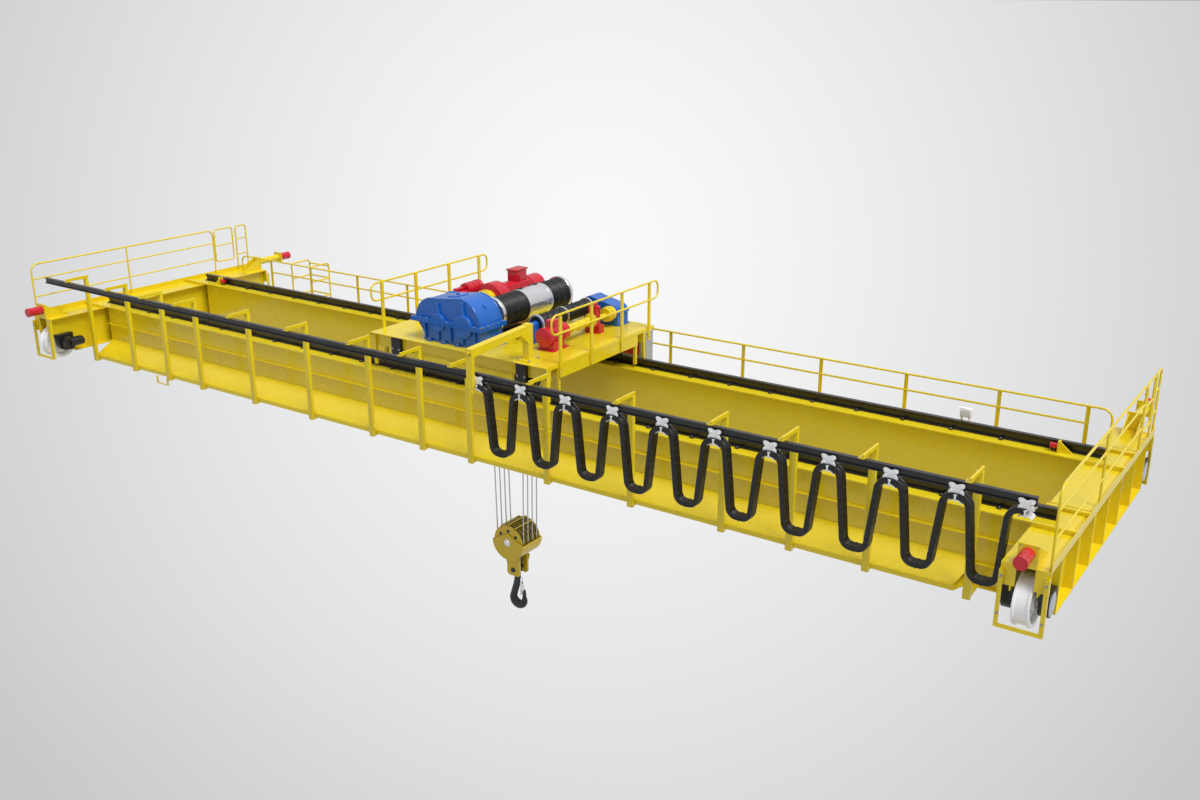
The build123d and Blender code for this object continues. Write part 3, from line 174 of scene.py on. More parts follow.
# %% Brushed metal
brushed, given, out = new_group(
    "brushed metal",
    [("Stain", colour_kind, (0.3, 0.3, 0.3, 1)), ("Grain", vector_kind, (1, 1, 1)), ("Smooth", number_kind, 0.2),
     ("Rough", number_kind, 0.4)],
    [("Roughness", number_kind), ("Height", number_kind)])
stretched = add(brushed, "VectorMath", {0: given["Vector"], 1: given["Grain"]}, operation="MULTIPLY")
scratch = noise(brushed, stretched, 1.0, 8)
stain = spread(brushed, noise(brushed, given["Vector"], 7.0, 5), 0.5, 0.75, 0.0, 0.5)
feed(brushed, out["Color"], blend_colours(brushed, stain, given["Color"], given["Stain"]))
feed(brushed, out["Roughness"], spread(brushed, scratch, 0.3, 0.7, given["Smooth"], given["Rough"]))
feed(brushed, out["Height"], scratch)

# %% [markdown]
# Each finish has its own Principled shader. Its constant values, such as the coat and the metal, sit on its own
# sockets, and what changes over the surface comes from the groups.

# %% Finishes
coat_rough = 0.08
finishes = {}


def start_finish(name, coat=0.0, metallic=0.0):
    """A new material: its tree, its shader's inputs and the piece's own coordinates."""
    material = bpy.data.materials.new(name)
    material.use_nodes = True
    tree = material.node_tree
    shader = tree.nodes["Principled BSDF"].inputs
    for label, value in (("Coat Weight", coat), ("Coat Roughness", coat_rough), ("Metallic", metallic)):
        shader[label].default_value = value
    finishes[name] = material
    return tree, shader, add(tree, "TexCoord", {}, "Object")


def place_group(tree, group, where, **values):
    """The outputs of one use of a group in a material, with its own values."""
    node = tree.nodes.new("ShaderNodeGroup")
    node.node_tree = group
    for label, value in {"Vector": where, **values}.items():
        feed(tree, node.inputs[label], value)
    return node.outputs


def raise_skin(tree, shader, height, strength, distance):
    """A height pushes the shader's normal through a bump node."""
    bump = add(tree, "Bump", {"Height": height, "Strength": strength, "Distance": distance}, "Normal")
    feed(tree, shader["Normal"], bump)


def enamel(name, colour, shade, smooth=0.18, rough=0.36, coat=0.35, settled=0.25):
    """Sprayed paint with a little dust on what faces up."""
    tree, shader, where = start_finish(name, coat)
    film = place_group(tree, paint_film, where, Color=(*colour, 1), Shade=(*shade, 1), Drift=0.8,
                       Smooth=smooth, Rough=rough)
    top = place_group(tree, dust, where, Color=film["Color"], Amount=settled)
    feed(tree, shader["Base Color"], top["Color"])
    feed(tree, shader["Roughness"], film["Roughness"])
    raise_skin(tree, shader, film["Height"], 0.12, 0.002)


def bare_metal(name, colour, stain, grain, smooth, rough, metallic):
    """Steel that was turned, drawn or plated."""
    tree, shader, where = start_finish(name, 0.0, metallic)
    metal = place_group(tree, brushed, where, Color=(*colour, 1), Stain=(*stain, 1), Grain=grain,
                        Smooth=smooth, Rough=rough)
    feed(tree, shader["Base Color"], metal["Color"])
    feed(tree, shader["Roughness"], metal["Roughness"])
    raise_skin(tree, shader, metal["Height"], 0.1, 0.001)


iron, iron_worn = (0.009, 0.009, 0.010), (0.018, 0.018, 0.018)
enamel("yellow_paint", (0.82, 0.63, 0.010), (0.74, 0.555, 0.008), coat=0.25, settled=0.03)
# The hook block's yellow is the crane's yellow paint made darker: painted shade.
enamel("block_yellow_painted_shade", (0.66, 0.47, 0.020), (0.56, 0.39, 0.016), coat=0.1, settled=0.03)
# The sheaves' yellow is made far darker still: painted shade between the block's cheeks.
enamel("sheave_yellow_painted_shade", (0.26, 0.19, 0.008), (0.18, 0.13, 0.006), coat=0.1, settled=0.05)
enamel("red_paint", (0.60, 0.006, 0.024), (0.48, 0.004, 0.018), settled=0.05)
enamel("blue_paint", (0.006, 0.125, 0.52), (0.004, 0.095, 0.42), settled=0.05)
enamel("grey_paint", (0.40, 0.42, 0.44), (0.32, 0.34, 0.36))
enamel("black_rail", (0.007, 0.007, 0.008), (0.012, 0.012, 0.013), 0.22, 0.42, settled=0.06)
enamel("black_iron", iron, iron_worn, 0.3, 0.55, coat=0.1, settled=0.12)
enamel("hook_black", iron, iron_worn, 0.16, 0.34, settled=0.05)
enamel("wheel_steel", (0.97, 0.97, 0.98), (0.90, 0.90, 0.92), 0.2, 0.4, settled=0.0)
bare_metal("zinc_steel", (0.88, 0.89, 0.90), (0.66, 0.67, 0.69), (60, 60, 60), 0.22, 0.42, 0.3)
bare_metal("turned_steel", (0.90, 0.90, 0.91), (0.66, 0.66, 0.67), (8, 400, 8), 0.10, 0.26, 0.85)
bare_metal("bolt_steel", (0.42, 0.42, 0.43), (0.25, 0.25, 0.26), (120, 120, 120), 0.3, 0.5, 0.8)
print("finishes", sorted(finishes))

# %% [markdown]
# Wire rope is laid in strands that wind round it. A wave texture whose bands lean across the rope's length gives
# the strands from the object's own coordinates. Cables and rope grooves are banded in the same way. The low parts
# of the bands take the darker colour: painted shade in the creases between them.

# %% Rope and cable sheath
def banded(name, colour, dark, turn, scale, smooth, metallic, depth):
    """A finish with bands that stand up from the surface, such as strands or ribs. Turn is in degrees."""
    tree, shader, where = start_finish(name, 0.0, metallic)
    bands = waves(tree, where, [math.radians(angle) for angle in turn], Scale=scale, Distortion=0.4)
    # The dark colour falls in the low parts between the bands: painted shade in the creases.
    feed(tree, shader["Base Color"], blend_colours(tree, bands, (*dark, 1), (*colour, 1)))
    patches = noise(tree, where, 40.0, 5)
    feed(tree, shader["Roughness"], spread(tree, patches, 0.3, 0.7, smooth, smooth + 0.25))
    raise_skin(tree, shader, bands, 0.6, depth)


banded("rope_steel", (0.80, 0.80, 0.81), (0.45, 0.45, 0.45), (0, 50, 0), 22.0, 0.35, 0.7, 0.003)
banded("cable_black", (0.011, 0.011, 0.012), (0.005, 0.005, 0.006), (90, 0, 90), 3.0, 0.2, 0.0, 0.001)
banded("drum_black", (0.018, 0.018, 0.020), (0.006, 0.006, 0.006), (0, 0, 88), 14.0, 0.3, 0.2, 0.002)

# %% [markdown]
# A walkway is laid with tread plate: small raised bars, so that a shoe grips. Two crossed waves multiplied give
# the bars, and only the walking surfaces have them.

# %% Tread plate
tree, shader, where = start_finish("tread_plate", 0.2)
film = place_group(tree, paint_film, where, Color=(0.82, 0.645, 0.012, 1), Shade=(0.70, 0.54, 0.01, 1),
                   Smooth=0.25, Rough=0.45)
feed(tree, shader["Base Color"], film["Color"])
feed(tree, shader["Roughness"], film["Roughness"])
bars = [waves(tree, where, (0, 0, math.radians(lean)), Scale=9.0) for lean in (45, -45)]
crossed = add(tree, "Math", {0: bars[0], 1: bars[1]}, operation="MULTIPLY")
raise_skin(tree, shader, crossed, 0.5, 0.006)

# %% [markdown]
# The record names a finish for every solid. The scene uses the same names and only makes a few exceptions,
# where the real piece differs from its neighbours.

# %% Finishes on the solids
exceptions = {"main_drum": "drum_black", "aux_drum": "drum_black", "hook_block_frame": "block_yellow_painted_shade",
              "hook": "hook_black", "walkway": "tread_plate", "block_sheaves": "sheave_yellow_painted_shade",
              "hook_latch": "zinc_steel"}
for part in frame["record"]["subparts"]:
    chosen = exceptions.get(part["node"], part["material_slot"])
    solid = frame["nodes"][part["node"]]
    solid.data.materials.clear()
    solid.data.materials.append(finishes[chosen])

# %% [markdown]
# The pieces are modelled with a handful of moves: add a primitive at its place, shape it, soften its edges with a
# bevel, and put its place into its mesh. These helpers keep each of the later cells short.

# %% Modelling helpers
axis_turns = {"X": (0, math.pi / 2, 0), "Y": (math.pi / 2, 0, 0), "Z": (0, 0, 0)}


def clear_selection():
    """Operators act on all that is selected, so each step starts from nothing."""
    bpy.ops.object.select_all(action="DESELECT")


def pick(obj):
    """Makes one object the selected and active one."""
    clear_selection()
    obj.select_set(True)
    bpy.context.view_layer.objects.active = obj


def linked(name, data):
    """A new object in the scene."""
    obj = bpy.data.objects.new(name, data)
    bpy.context.collection.objects.link(obj)
    return obj


def just_added():
    """The primitive that was just added, with its place put into its mesh."""
    bpy.ops.object.transform_apply(location=True, rotation=True, scale=True)
    return bpy.context.active_object


def face_outward(obj):
    """Turns all faces of a closed mesh outward."""
    pick(obj)
    bpy.ops.object.mode_set(mode="EDIT")
    bpy.ops.mesh.select_all(action="SELECT")
    bpy.ops.mesh.normals_make_consistent(inside=False)
    bpy.ops.object.mode_set(mode="OBJECT")
    return obj


def soften(obj, width, segments=2):
    """Rounds the sharp edges a little, as a cast or ground edge is."""
    pick(obj)
    edge = obj.modifiers.new("soft edge", "BEVEL")
    edge.width = width
    edge.segments = segments
    edge.limit_method = "ANGLE"
    bpy.ops.object.modifier_apply(modifier=edge.name)
    return obj


def bar(low, high, bevel=0.003, segments=2):
    """A block between two opposite corners with softened edges."""
    clear_selection()
    middle = [(a + b) / 2 for a, b in zip(low, high)]
    size = [abs(b - a) for a, b in zip(low, high)]
    bpy.ops.mesh.primitive_cube_add(size=1, location=middle, scale=size)
    return soften(just_added(), bevel, segments)


def rod(axis, radius, middle, length, bevel=0.003, sides=32):
    """A round bar along an axis with softened rims."""
    clear_selection()
    bpy.ops.mesh.primitive_cylinder_add(vertices=sides, radius=radius, depth=length, location=middle,
                                        rotation=axis_turns[axis])
    obj = just_added()
    return soften(obj, bevel, 1) if bevel else obj


def turned(axis, middle, outline, steps=64):
    """An outline of (along, radius) points spun round an axis, as on a lathe."""
    along = {"X": Vector((1, 0, 0)), "Y": Vector((0, 1, 0)), "Z": Vector((0, 0, 1))}[axis]
    outward = Vector((1, 0, 0)) if axis == "Z" else Vector((0, 0, 1))
    points = [Vector(middle) + along * a + outward * r for a, r in outline]
    clear_selection()
    bpy.ops.mesh.primitive_plane_add(size=0.01, location=(0, 0, 0))
    obj = bpy.context.active_object
    bpy.ops.object.mode_set(mode="EDIT")
    bpy.ops.mesh.merge(type="CENTER")
    bpy.ops.transform.translate(value=points[0])
    for start, stop in zip(points, points[1:]):
        bpy.ops.mesh.extrude_region_move(TRANSFORM_OT_translate={"value": stop - start})
    bpy.ops.mesh.select_all(action="SELECT")
    bpy.ops.mesh.spin(steps=steps, angle=2 * math.pi, center=middle, axis=along)
    bpy.ops.mesh.select_all(action="SELECT")
    bpy.ops.mesh.remove_doubles(threshold=1e-5)
    bpy.ops.mesh.normals_make_consistent(inside=False)
    bpy.ops.object.mode_set(mode="OBJECT")
    return obj


def slab(points, start, stop, bevel=0.003, axis="Y"):
    """A flat plate cut to an outline of (x, z) points between two places along Y, or of (y, z) points along X."""
    count = len(points)
    corners = [(x, y, z) if axis == "Y" else (y, x, z) for y in (start, stop) for x, z in points]
    sides = [(a, (a + 1) % count, (a + 1) % count + count, a + count) for a in range(count)]
    mesh = bpy.data.meshes.new("slab")
    mesh.from_pydata(corners, [], sides + [tuple(range(count)), tuple(range(2 * count - 1, count - 1, -1))])
    obj = face_outward(linked("slab", mesh))
    return soften(obj, bevel, 1) if bevel else obj


def on_circle(middle, radius, degrees):
    """A point on a circle, as (x, z)."""
    turn = math.radians(degrees)
    return middle[0] + radius * math.cos(turn), middle[1] + radius * math.sin(turn)


def arc(middle, radius, start, stop, count):
    """Points along an arc, in degrees, as (x, z)."""
    return [on_circle(middle, radius, start + (stop - start) * index / count) for index in range(count + 1)]


def joined(objs):
    """One object from several."""
    pick(objs[0])
    for obj in objs:
        obj.select_set(True)
    if len(objs) > 1:
        bpy.ops.object.join()
    return bpy.context.active_object


def settle(objs, name, finish, body=None, smooth=35):
    """Joins and names a finished piece, gives it its finish and lets it ride on its body, if it has one."""
    obj = joined(objs)
    pick(obj)
    bpy.ops.object.transform_apply(location=True, rotation=True, scale=True)
    bpy.ops.object.shade_smooth_by_angle(angle=math.radians(smooth))
    obj.name = name
    obj.data.materials.clear()
    obj.data.materials.append(finishes[finish])
    if body:
        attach(obj, body)
    return obj


def copied(obj, matrix):
    """A copy with its own mesh, moved by a matrix."""
    twin = obj.copy()
    twin.data = obj.data.copy()
    twin.data.transform(matrix)
    bpy.context.collection.objects.link(twin)
    return twin


def about(middle, matrix):
    """The same move made about a point."""
    place = Matrix.Translation(middle)
    return place @ matrix @ place.inverted()


def middle_of(node):
    """The middle of a solid's box."""
    low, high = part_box(node)
    return [(a + b) / 2 for a, b in zip(low, high)]


# %% [markdown]
# A hexagon bolt is seen several hundred times, so it is modelled once with few faces: a washer and a six-sided
# head with a softened rim. Every row of bolts is a list of places and the direction in which the heads look.

# %% One bolt
bolt_size = 0.016
washer = rod("Z", 1.45 * bolt_size, (0, 0, 0.1 * bolt_size), 0.2 * bolt_size, 0, 14)
head = rod("Z", bolt_size, (0, 0, 0.55 * bolt_size), 0.75 * bolt_size, 0, 6)
bolt = joined([washer, soften(head, 0.12 * bolt_size, 1)])
bolt_rows = {}
facings = {"+X": (1, 0, 0), "-X": (-1, 0, 0), "+Y": (0, 1, 0), "-Y": (0, -1, 0), "+Z": (0, 0, 1)}


def bolts(body, facing, places, share=1.0):
    """Puts bolts on a face. Share is their size against the usual bolt."""
    turn = Vector(facings[facing]).to_track_quat("Z", "Y").to_matrix().to_4x4()
    for place in places:
        twin = copied(bolt, Matrix.Translation(place) @ turn @ Matrix.Scale(share, 4))
        bolt_rows.setdefault(body, []).append(twin)


def ring(x, y, z, radius, count):
    """Places on a circle round a line along Y."""
    return [(x + radius * math.cos(2 * math.pi * index / count), y,
             z + radius * math.sin(2 * math.pi * index / count)) for index in range(count)]


print("faces of a bolt", len(bolt.data.polygons))

# %% [markdown]
# A bridge wheel is turned from a forging: a tread between two flanges, a web that is hollowed on both sides and a
# hub. One outline spun on the lathe holds all of it, and it takes the place of the plain disc.

# %% Bridge wheels
wheel_names = ["left_front_wheel", "left_rear_wheel", "right_front_wheel", "right_rear_wheel"]
tread_share, rim_share, web_share, hub_share = 0.94, 0.80, 0.5, 0.34


def wheel_outline(half, outer, flange, axle, reach):
    """Half of the outline from the axle's end to the middle, then the same mirrored."""
    web = half * web_share
    side = [(reach, 0.0), (reach, axle * 0.96), (reach - 0.003, axle), (half, axle), (half, outer * hub_share),
            (half - 0.012, outer * (hub_share + 0.02)), (web, outer * (hub_share + 0.04)),
            (web, outer * (rim_share - 0.03)), (half - 0.012, outer * rim_share),
            (half, outer * (rim_share + 0.02)), (half, outer - 0.006), (half - 0.006, outer),
            (half - flange + 0.004, outer), (half - flange - 0.008, outer * tread_share)]
    return side + [(-a, r) for a, r in reversed(side)]


for name in wheel_names:
    low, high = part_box(name)
    outline = wheel_outline(0.105, (high[2] - low[2]) / 2, 0.030, 0.060, (high[0] - low[0]) / 2)
    wheel = settle([turned("X", middle_of(name), outline)], name + "_turned", "wheel_steel", name, 25)
    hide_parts(name)
print("bridge wheels", len(wheel_names))

# %% [markdown]
# The trolley's four wheels are smaller ones of the same kind. The driven pair shares a shaft.

# %% Trolley wheels
girder_y = 1.25
skin = 0.0015

for name in ("drive_wheelset", "idle_wheels"):
    x, y, z = middle_of(name)
    outline = wheel_outline(0.066 + skin, 0.218 + skin, 0.018, 0.040, 0.176)
    rims = [turned("Y", (x, side * girder_y, z), outline, 48) for side in (-1, 1)]
    if name == "drive_wheelset":
        rims.append(rod("Y", 0.030 + skin, (x, y, z), 2 * (girder_y - 0.17), 0.002, 24))
    wheels = settle(rims, name + "_turned", "black_iron", name, 25)
    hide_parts(name)
print("trolley wheels", 4)

# %% [markdown]
# Each bearing housing is closed by a round grey cap. The cap is a flat, shallow disc, spun like the wheel, and
# sits on both faces of every housing but the two that the drives are flanged to.

# %% Bearing caps
cap_outline = [(0.0, 0.0), (0.0, 0.148), (0.002, 0.150), (0.005, 0.144), (0.007, 0.130), (0.008, 0.0)]
caps = []
for name in wheel_names:
    low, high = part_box(name)
    x, y, z = middle_of(name)
    for face, way in ((low[0], -1), (high[0], 1)):
        inboard = way * x < 0
        if inboard and name in ("left_front_wheel", "right_rear_wheel"):
            continue
        caps.append(turned("X", (face + way * 0.001, y, z), [(way * a, r) for a, r in cap_outline], 40))
settle(caps, "bearing_caps", "grey_paint", "bridge", 30)
print("caps", len(caps))

# %% [markdown]
# The hoist's gearbox is a split casting. Its shafts end in round bosses with caps, ribs stiffen the lower half, a
# row of bolts holds the seam, and the cover carries lifting lugs, an inspection lid and a breather.

# %% Gearbox bosses
box_low, box_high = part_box("main_gearbox")
front_face, back_face = box_low[1] + 0.070, box_high[1] - 0.040
sides = ((front_face, -1), (back_face, 1))
seam_z = 1.85
shafts = [(-0.43, front_face, -1, 0.155), (-0.27, back_face, 1, 0.10), (0.11, front_face, -1, 0.20)]
bosses = [turned("Y", (x, face, seam_z), [(0.0, 0.0), (0.0, r), (way * 0.030, r), (way * 0.052, r * 0.96),
                                          (way * 0.060, r * 0.90), (way * 0.060, 0.0)], 48)
          for x, face, way, r in shafts]
settle(bosses, "gearbox_bosses", "blue_paint", "trolley", 30)
print("bosses", len(bosses))

# %% Gearbox ribs and feet
deck_top = 1.5
rib_low, rib_high = deck_top + 0.04, seam_z - 0.035
ribs = []
for face, way in sides:
    root = face - way * 0.01
    for x in (-0.72, -0.43, -0.16, 0.10, 0.36):
        ribs.append(bar((x - 0.011, root, rib_low), (x + 0.011, face + way * 0.04, rib_high), 0.004))
    for x, tip in ((-0.43, 2.17), (0.11, 2.25)):
        outline = [(x - 0.070, seam_z + 0.04), (x + 0.070, seam_z + 0.04), (x + 0.012, tip), (x - 0.012, tip)]
        ribs.append(slab(outline, root, face + way * 0.045, 0.006))
for x in (-0.625, -0.318, -0.013, 0.290):
    ribs.append(bar((x - 0.045, -1.335, deck_top), (x + 0.045, -1.262, deck_top + 0.030), 0.004))
    bolts("trolley", "+Z", [(x, -1.300, deck_top + 0.030)], 1.2)
for x, top in ((-0.80, 2.03), (0.30, 2.13)):
    ribs.append(rod("Y", 0.062, (x, (front_face + back_face) / 2, top), 0.05, 0.004, 28))

# %% Gearbox lid and rims
lid_x, lid_z, lid_slope = -0.24, 2.262, math.atan(70 / 560)
lid = bar((lid_x - 0.12, -1.12, lid_z - 0.02), (lid_x + 0.12, -0.85, lid_z + 0.022), 0.008)
lid.data.transform(about((lid_x, 0, lid_z), Matrix.Rotation(-lid_slope, 4, "Y")))
ribs += [lid, rod("Z", 0.030, (lid_x, -0.985, lid_z + 0.030), 0.05, 0.006, 20)]
for radius, x, cut_x, way in ((0.455, 0.0, 0.02, 1), (0.385, -0.56, -0.29, -1)):
    for y in (front_face + 0.012, back_face - 0.012):
        clear_selection()
        bpy.ops.mesh.primitive_torus_add(major_segments=72, minor_segments=8, major_radius=radius - 0.006,
                                         minor_radius=0.014, location=(x, y, seam_z), rotation=axis_turns["Y"])
        bpy.ops.object.mode_set(mode="EDIT")
        for place, facing in ((x, (0, 0, 1)), (cut_x, (way, 0, 0))):
            bpy.ops.mesh.select_all(action="SELECT")
            bpy.ops.mesh.bisect(plane_co=(place, y, seam_z), plane_no=facing, use_fill=True, clear_inner=True)
        bpy.ops.object.mode_set(mode="OBJECT")
        ribs.append(bpy.context.active_object)
settle(ribs, "gearbox_ribs", "blue_paint", "trolley", 30)
print("gearbox pieces", len(ribs))

# %% Gearbox bolts
seam_x0, seam_x1 = box_low[0] + 0.035, box_high[0] - 0.035
seam_bolts = [(seam_x0 + index * (seam_x1 - seam_x0) / 10, box_low[1] + 0.032) for index in range(11)]
seam_bolts += [(x, box_low[1] + 0.08 + index * (box_high[1] - box_low[1] - 0.16) / 4)
               for index in range(5) for x in (seam_x0, seam_x1)]
bolts("trolley", "+Z", [(x, y, seam_z + 0.035) for x, y in seam_bolts])
bolts("trolley", "+Z", [(x, y, deck_top + 0.04) for x in (-0.74, 0.50) for y in (-1.22, -1.02, -0.82)], 1.3)
bolts("trolley", "+Z", [(lid_x + dx, y, lid_z + 0.022 + dx * 0.125) for dx in (-0.09, 0.09) for y in (-1.09, -0.88)],
      0.6)
print("bolts on the trolley", len(bolt_rows["trolley"]))

# %% [markdown]
# A motor of this size is cooled by fins along its frame and by a fan under a steel cowl at the back. The fins are
# one thin bar, copied round the axis with its own mesh each time; the end bell and the cowl are turned.

# %% Main motor's frame
motor_x, motor_z, frame_r, bell_r = -0.6, 1.90, 0.215, 0.290
core = [turned("Y", (motor_x, 0, motor_z),
               [(0.232, 0.0), (0.232, 0.06), (0.240, 0.06), (0.240, bell_r - 0.030), (0.252, bell_r - 0.006),
                (0.270, bell_r), (0.490, bell_r), (0.510, bell_r - 0.010), (0.515, bell_r - 0.030),
                (0.515, frame_r), (1.330, frame_r), (1.330, 0.0)], 56),
        bar((motor_x - 0.100, 0.890, 2.060), (motor_x + 0.100, 1.200, 2.290), 0.010),
        bar((motor_x - 0.118, 0.870, 2.290), (motor_x + 0.118, 1.220, 2.318), 0.008)]
for side in (-1, 1):
    leg_x, foot_x = motor_x + side * 0.115, motor_x + side * 0.175
    core.append(bar((leg_x - 0.030, 0.40, deck_top + 0.012), (leg_x + 0.030, 1.20, 1.80), 0.006))
    core.append(bar((foot_x - 0.060, 0.38, deck_top), (foot_x + 0.060, 1.22, deck_top + 0.030), 0.005))
    for y in (0.40, 0.80, 1.20):
        core.append(bar((foot_x - 0.055, y - 0.010, deck_top + 0.02), (foot_x + 0.025, y + 0.010, 1.70), 0.004))
for y in (0.975, 1.035, 1.095):
    core.append(rod("X", 0.016, (motor_x - 0.10, y, 2.13), 0.05, 0.004, 16))
main_core = settle(core, "main_motor_frame", "red_paint", "trolley", 30)
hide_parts("main_motor")


# %% Fins and cowls
def finned_motor(name, x, z, r, y0, y1, cowl, count):
    """Fins, end bell and cowl of one motor from y0 to y1. The cowl starts at its own place along the motor."""
    rise = r * 0.07
    fin = bar((x - 0.004, y0 + 0.05, z + r - 0.006), (x + 0.004, cowl - 0.05, z + r + rise), 0.0015, 1)
    pieces = []
    for index in range(count):
        angle = 2 * math.pi * (index + 0.5) / count
        if -0.55 <= math.cos(angle) <= 0.8:
            pieces.append(copied(fin, about((x, 0, z), Matrix.Rotation(angle, 4, "Y"))))
    bpy.data.objects.remove(fin)
    bell = [(0.0, 0.0), (0.0, r * 0.78), (0.012, r * 0.98), (0.02, r + rise), (0.055, r + rise), (0.06, r - 0.004)]
    pieces.append(turned("Y", (x, y0 - 0.002, z), bell, 56))
    cover = [(cowl - 0.02, r - 0.004), (cowl - 0.02, r + rise * 0.8), (y1 - 0.03, r + rise * 0.6),
             (y1 - 0.004, r * 0.9)]
    for step, share in ((0, 0.86), (0.004, 0.80), (0.004, 0.66), (0, 0.64), (0, 0.58), (0.004, 0.56), (0.004, 0.42),
                        (0, 0.40), (0, 0.34), (0.004, 0.32), (0.004, 0.2), (0, 0.18), (0, 0.0)):
        cover.append((y1 - step, r * share))
    pieces.append(turned("Y", (x, 0.001, z), cover, 56))
    settle(pieces, name + "_fins", "red_paint", "trolley", 30)
    print(name, "pieces", len(pieces))


finned_motor("main_motor", motor_x, motor_z, frame_r, 0.50, 1.64, 1.31, 52)
finned_motor("aux_motor", 1.33, 1.73, 0.150, -0.74, -0.18, -0.30, 44)
lid = [bar((1.255, -0.575, 1.955), (1.405, -0.345, 1.985), 0.006),
       bar((1.165, -0.70, deck_top), (1.495, -0.24, deck_top + 0.018), 0.005)]
settle(lid, "aux_motor_lid", "red_paint", "trolley", 30)

# %% [markdown]
# The rope winds in a groove that runs round the drum, so the drum's sleeve is spun from a toothed outline. Its
# middle is left plain and bright, where the two ropes end in clamps, and bright rings close both ends.

# %% Main drum
drum_axis = (0.10, 0.0, 1.90)
drum_r = 0.265
groove_rise = 0.004


def grooved(start, stop, radius, pitch):
    """An outline of rope grooves along a drum."""
    outline = [(start, radius - 0.004)]
    for index in range(int((stop - start) / pitch)):
        y = start + index * pitch
        outline += [(y + 0.004, radius + groove_rise), (y + pitch / 2, radius - 0.001),
                    (y + pitch - 0.004, radius + groove_rise)]
    return outline + [(stop, radius - 0.004)]


def drum_ring(axis, start, stop, inside, outside, edge, drop, steps):
    """A ring round a drum, whose rims are cut back by edge and drop."""
    return turned("Y", axis, [(start, inside), (start, outside - drop), (start + edge, outside),
                              (stop - edge, outside), (stop, outside - drop), (stop, inside)], steps)


sleeves = [turned("Y", drum_axis, grooved(start, stop, drum_r + 0.002, 0.026), 72)
           for start, stop in ((-0.49, 0.175), (0.835, 1.335))]
settle(sleeves, "drum_grooves", "drum_black", "main_drum", 20)
band = [(0.175, -0.004), (0.175, 0.010), (0.183, 0.012), (0.225, 0.012), (0.230, 0.004), (0.490, 0.004),
        (0.494, 0.008), (0.516, 0.008), (0.520, 0.004), (0.780, 0.004), (0.785, 0.012), (0.827, 0.012),
        (0.835, 0.010), (0.835, -0.004)]
ends = [turned("Y", drum_axis, [(y, drum_r + rise) for y, rise in band], 72)]
for start, stop in ((-0.565, -0.495), (1.336, 1.405)):
    ends.append(drum_ring(drum_axis, start, stop, drum_r - 0.03, drum_r + 0.03, 0.006, 0.004, 72))
settle(ends, "drum_band", "turned_steel", "main_drum", 25)
print("drum pieces", len(sleeves) + len(ends))

# %% Rope clamps and end lugs
clamp = bar((0.075, 0.26, drum_axis[2] + drum_r), (0.125, 0.34, drum_axis[2] + drum_r + 0.022), 0.004)
clamps = []
for turn in (-0.9, -0.55, -0.2):
    for shift in (0.0, 0.44):
        move = Matrix.Translation((0, shift, 0)) @ about(drum_axis, Matrix.Rotation(turn, 4, "Y"))
        clamps.append(copied(clamp, move))
bpy.data.objects.remove(clamp)
settle(clamps, "rope_clamps", "black_iron", "main_drum")
lugs = []
for y, radius in ((1.403, 0.032), (-0.565, 0.026)):
    for place in ring(drum_axis[0], y, drum_axis[2], 0.215, 8):
        lugs.append(rod("Y", radius, place, 0.02, 0.004, 18))
settle(lugs, "drum_end_lugs", "black_iron", "main_drum")
print("clamps", len(clamps), "lugs", len(lugs))

# %% [markdown]
# The limit switch counts the drum's turns: a small square housing with a lid on the far pedestal. The pedestal
# itself gets a bearing cap with bolts, and ribs.

# %% Pedestal and limit switch
cap = [(0.0, 0.0), (0.0, 0.118), (0.014, 0.112), (0.014, 0.080), (0.030, 0.074), (0.036, 0.060), (0.036, 0.0)]
bearing = [turned("Y", (0.10, 1.572, 1.90), cap, 40)]
bearing += [bar((x - 0.01, 1.42, 1.50), (x + 0.01, 1.55, 1.62), 0.004) for x in (-0.07, 0.27)]
settle(bearing, "pedestal_details", "blue_paint", "trolley")
bolts("trolley", "+Y", ring(0.10, 1.586, 1.90, 0.096, 6), 0.8)
bolts("trolley", "+Z", [(x, y, 1.62) for x in (-0.075, 0.275) for y in (1.45, 1.52)], 1.2)
switch = [bar((0.03, 1.605, 1.83), (0.17, 1.655, 1.97), 0.008), rod("Y", 0.045, (0.10, 1.605, 1.90), 0.03, 0.004, 24)]
settle(switch, "limit_switch", "grey_paint", "trolley")
bolts("trolley", "+Y", [(0.10 + a, 1.655, 1.90 + b) for a in (-0.052, 0.052) for b in (-0.052, 0.052)], 0.45)
print("pedestal", len(bearing))

# %% [markdown]
# The auxiliary drum is thinner. It carries the same kind of groove in two runs, with thin bright rings between.

# %% Auxiliary drum
aux_axis = (0.88, 0.0, 1.80)
aux_r = 0.135
sleeves = [turned("Y", aux_axis, grooved(start, stop, aux_r + 0.002, 0.020), 48)
           for start, stop in ((-0.295, 0.375), (0.425, 1.095))]
settle(sleeves, "aux_drum_grooves", "drum_black", "aux_drum", 20)
rings = [drum_ring(aux_axis, start, stop, aux_r - 0.004, aux_r + rise, 0.003, 0.003, 56)
         for start, stop, rise in ((-0.333, -0.300, 0.027), (0.378, 0.392, 0.014), (0.408, 0.422, 0.014),
                                   (1.100, 1.133, 0.027))]
settle(rings, "aux_drum_rings", "turned_steel", "aux_drum", 25)
print("rings", len(rings))

# %% [markdown]
# A gear coupling is two flanged sleeves bolted face to face. A raised rim, a shallow step and a circle of bolts
# turn the plain drums into couplings, and the same outline serves the long line of the auxiliary hoist.

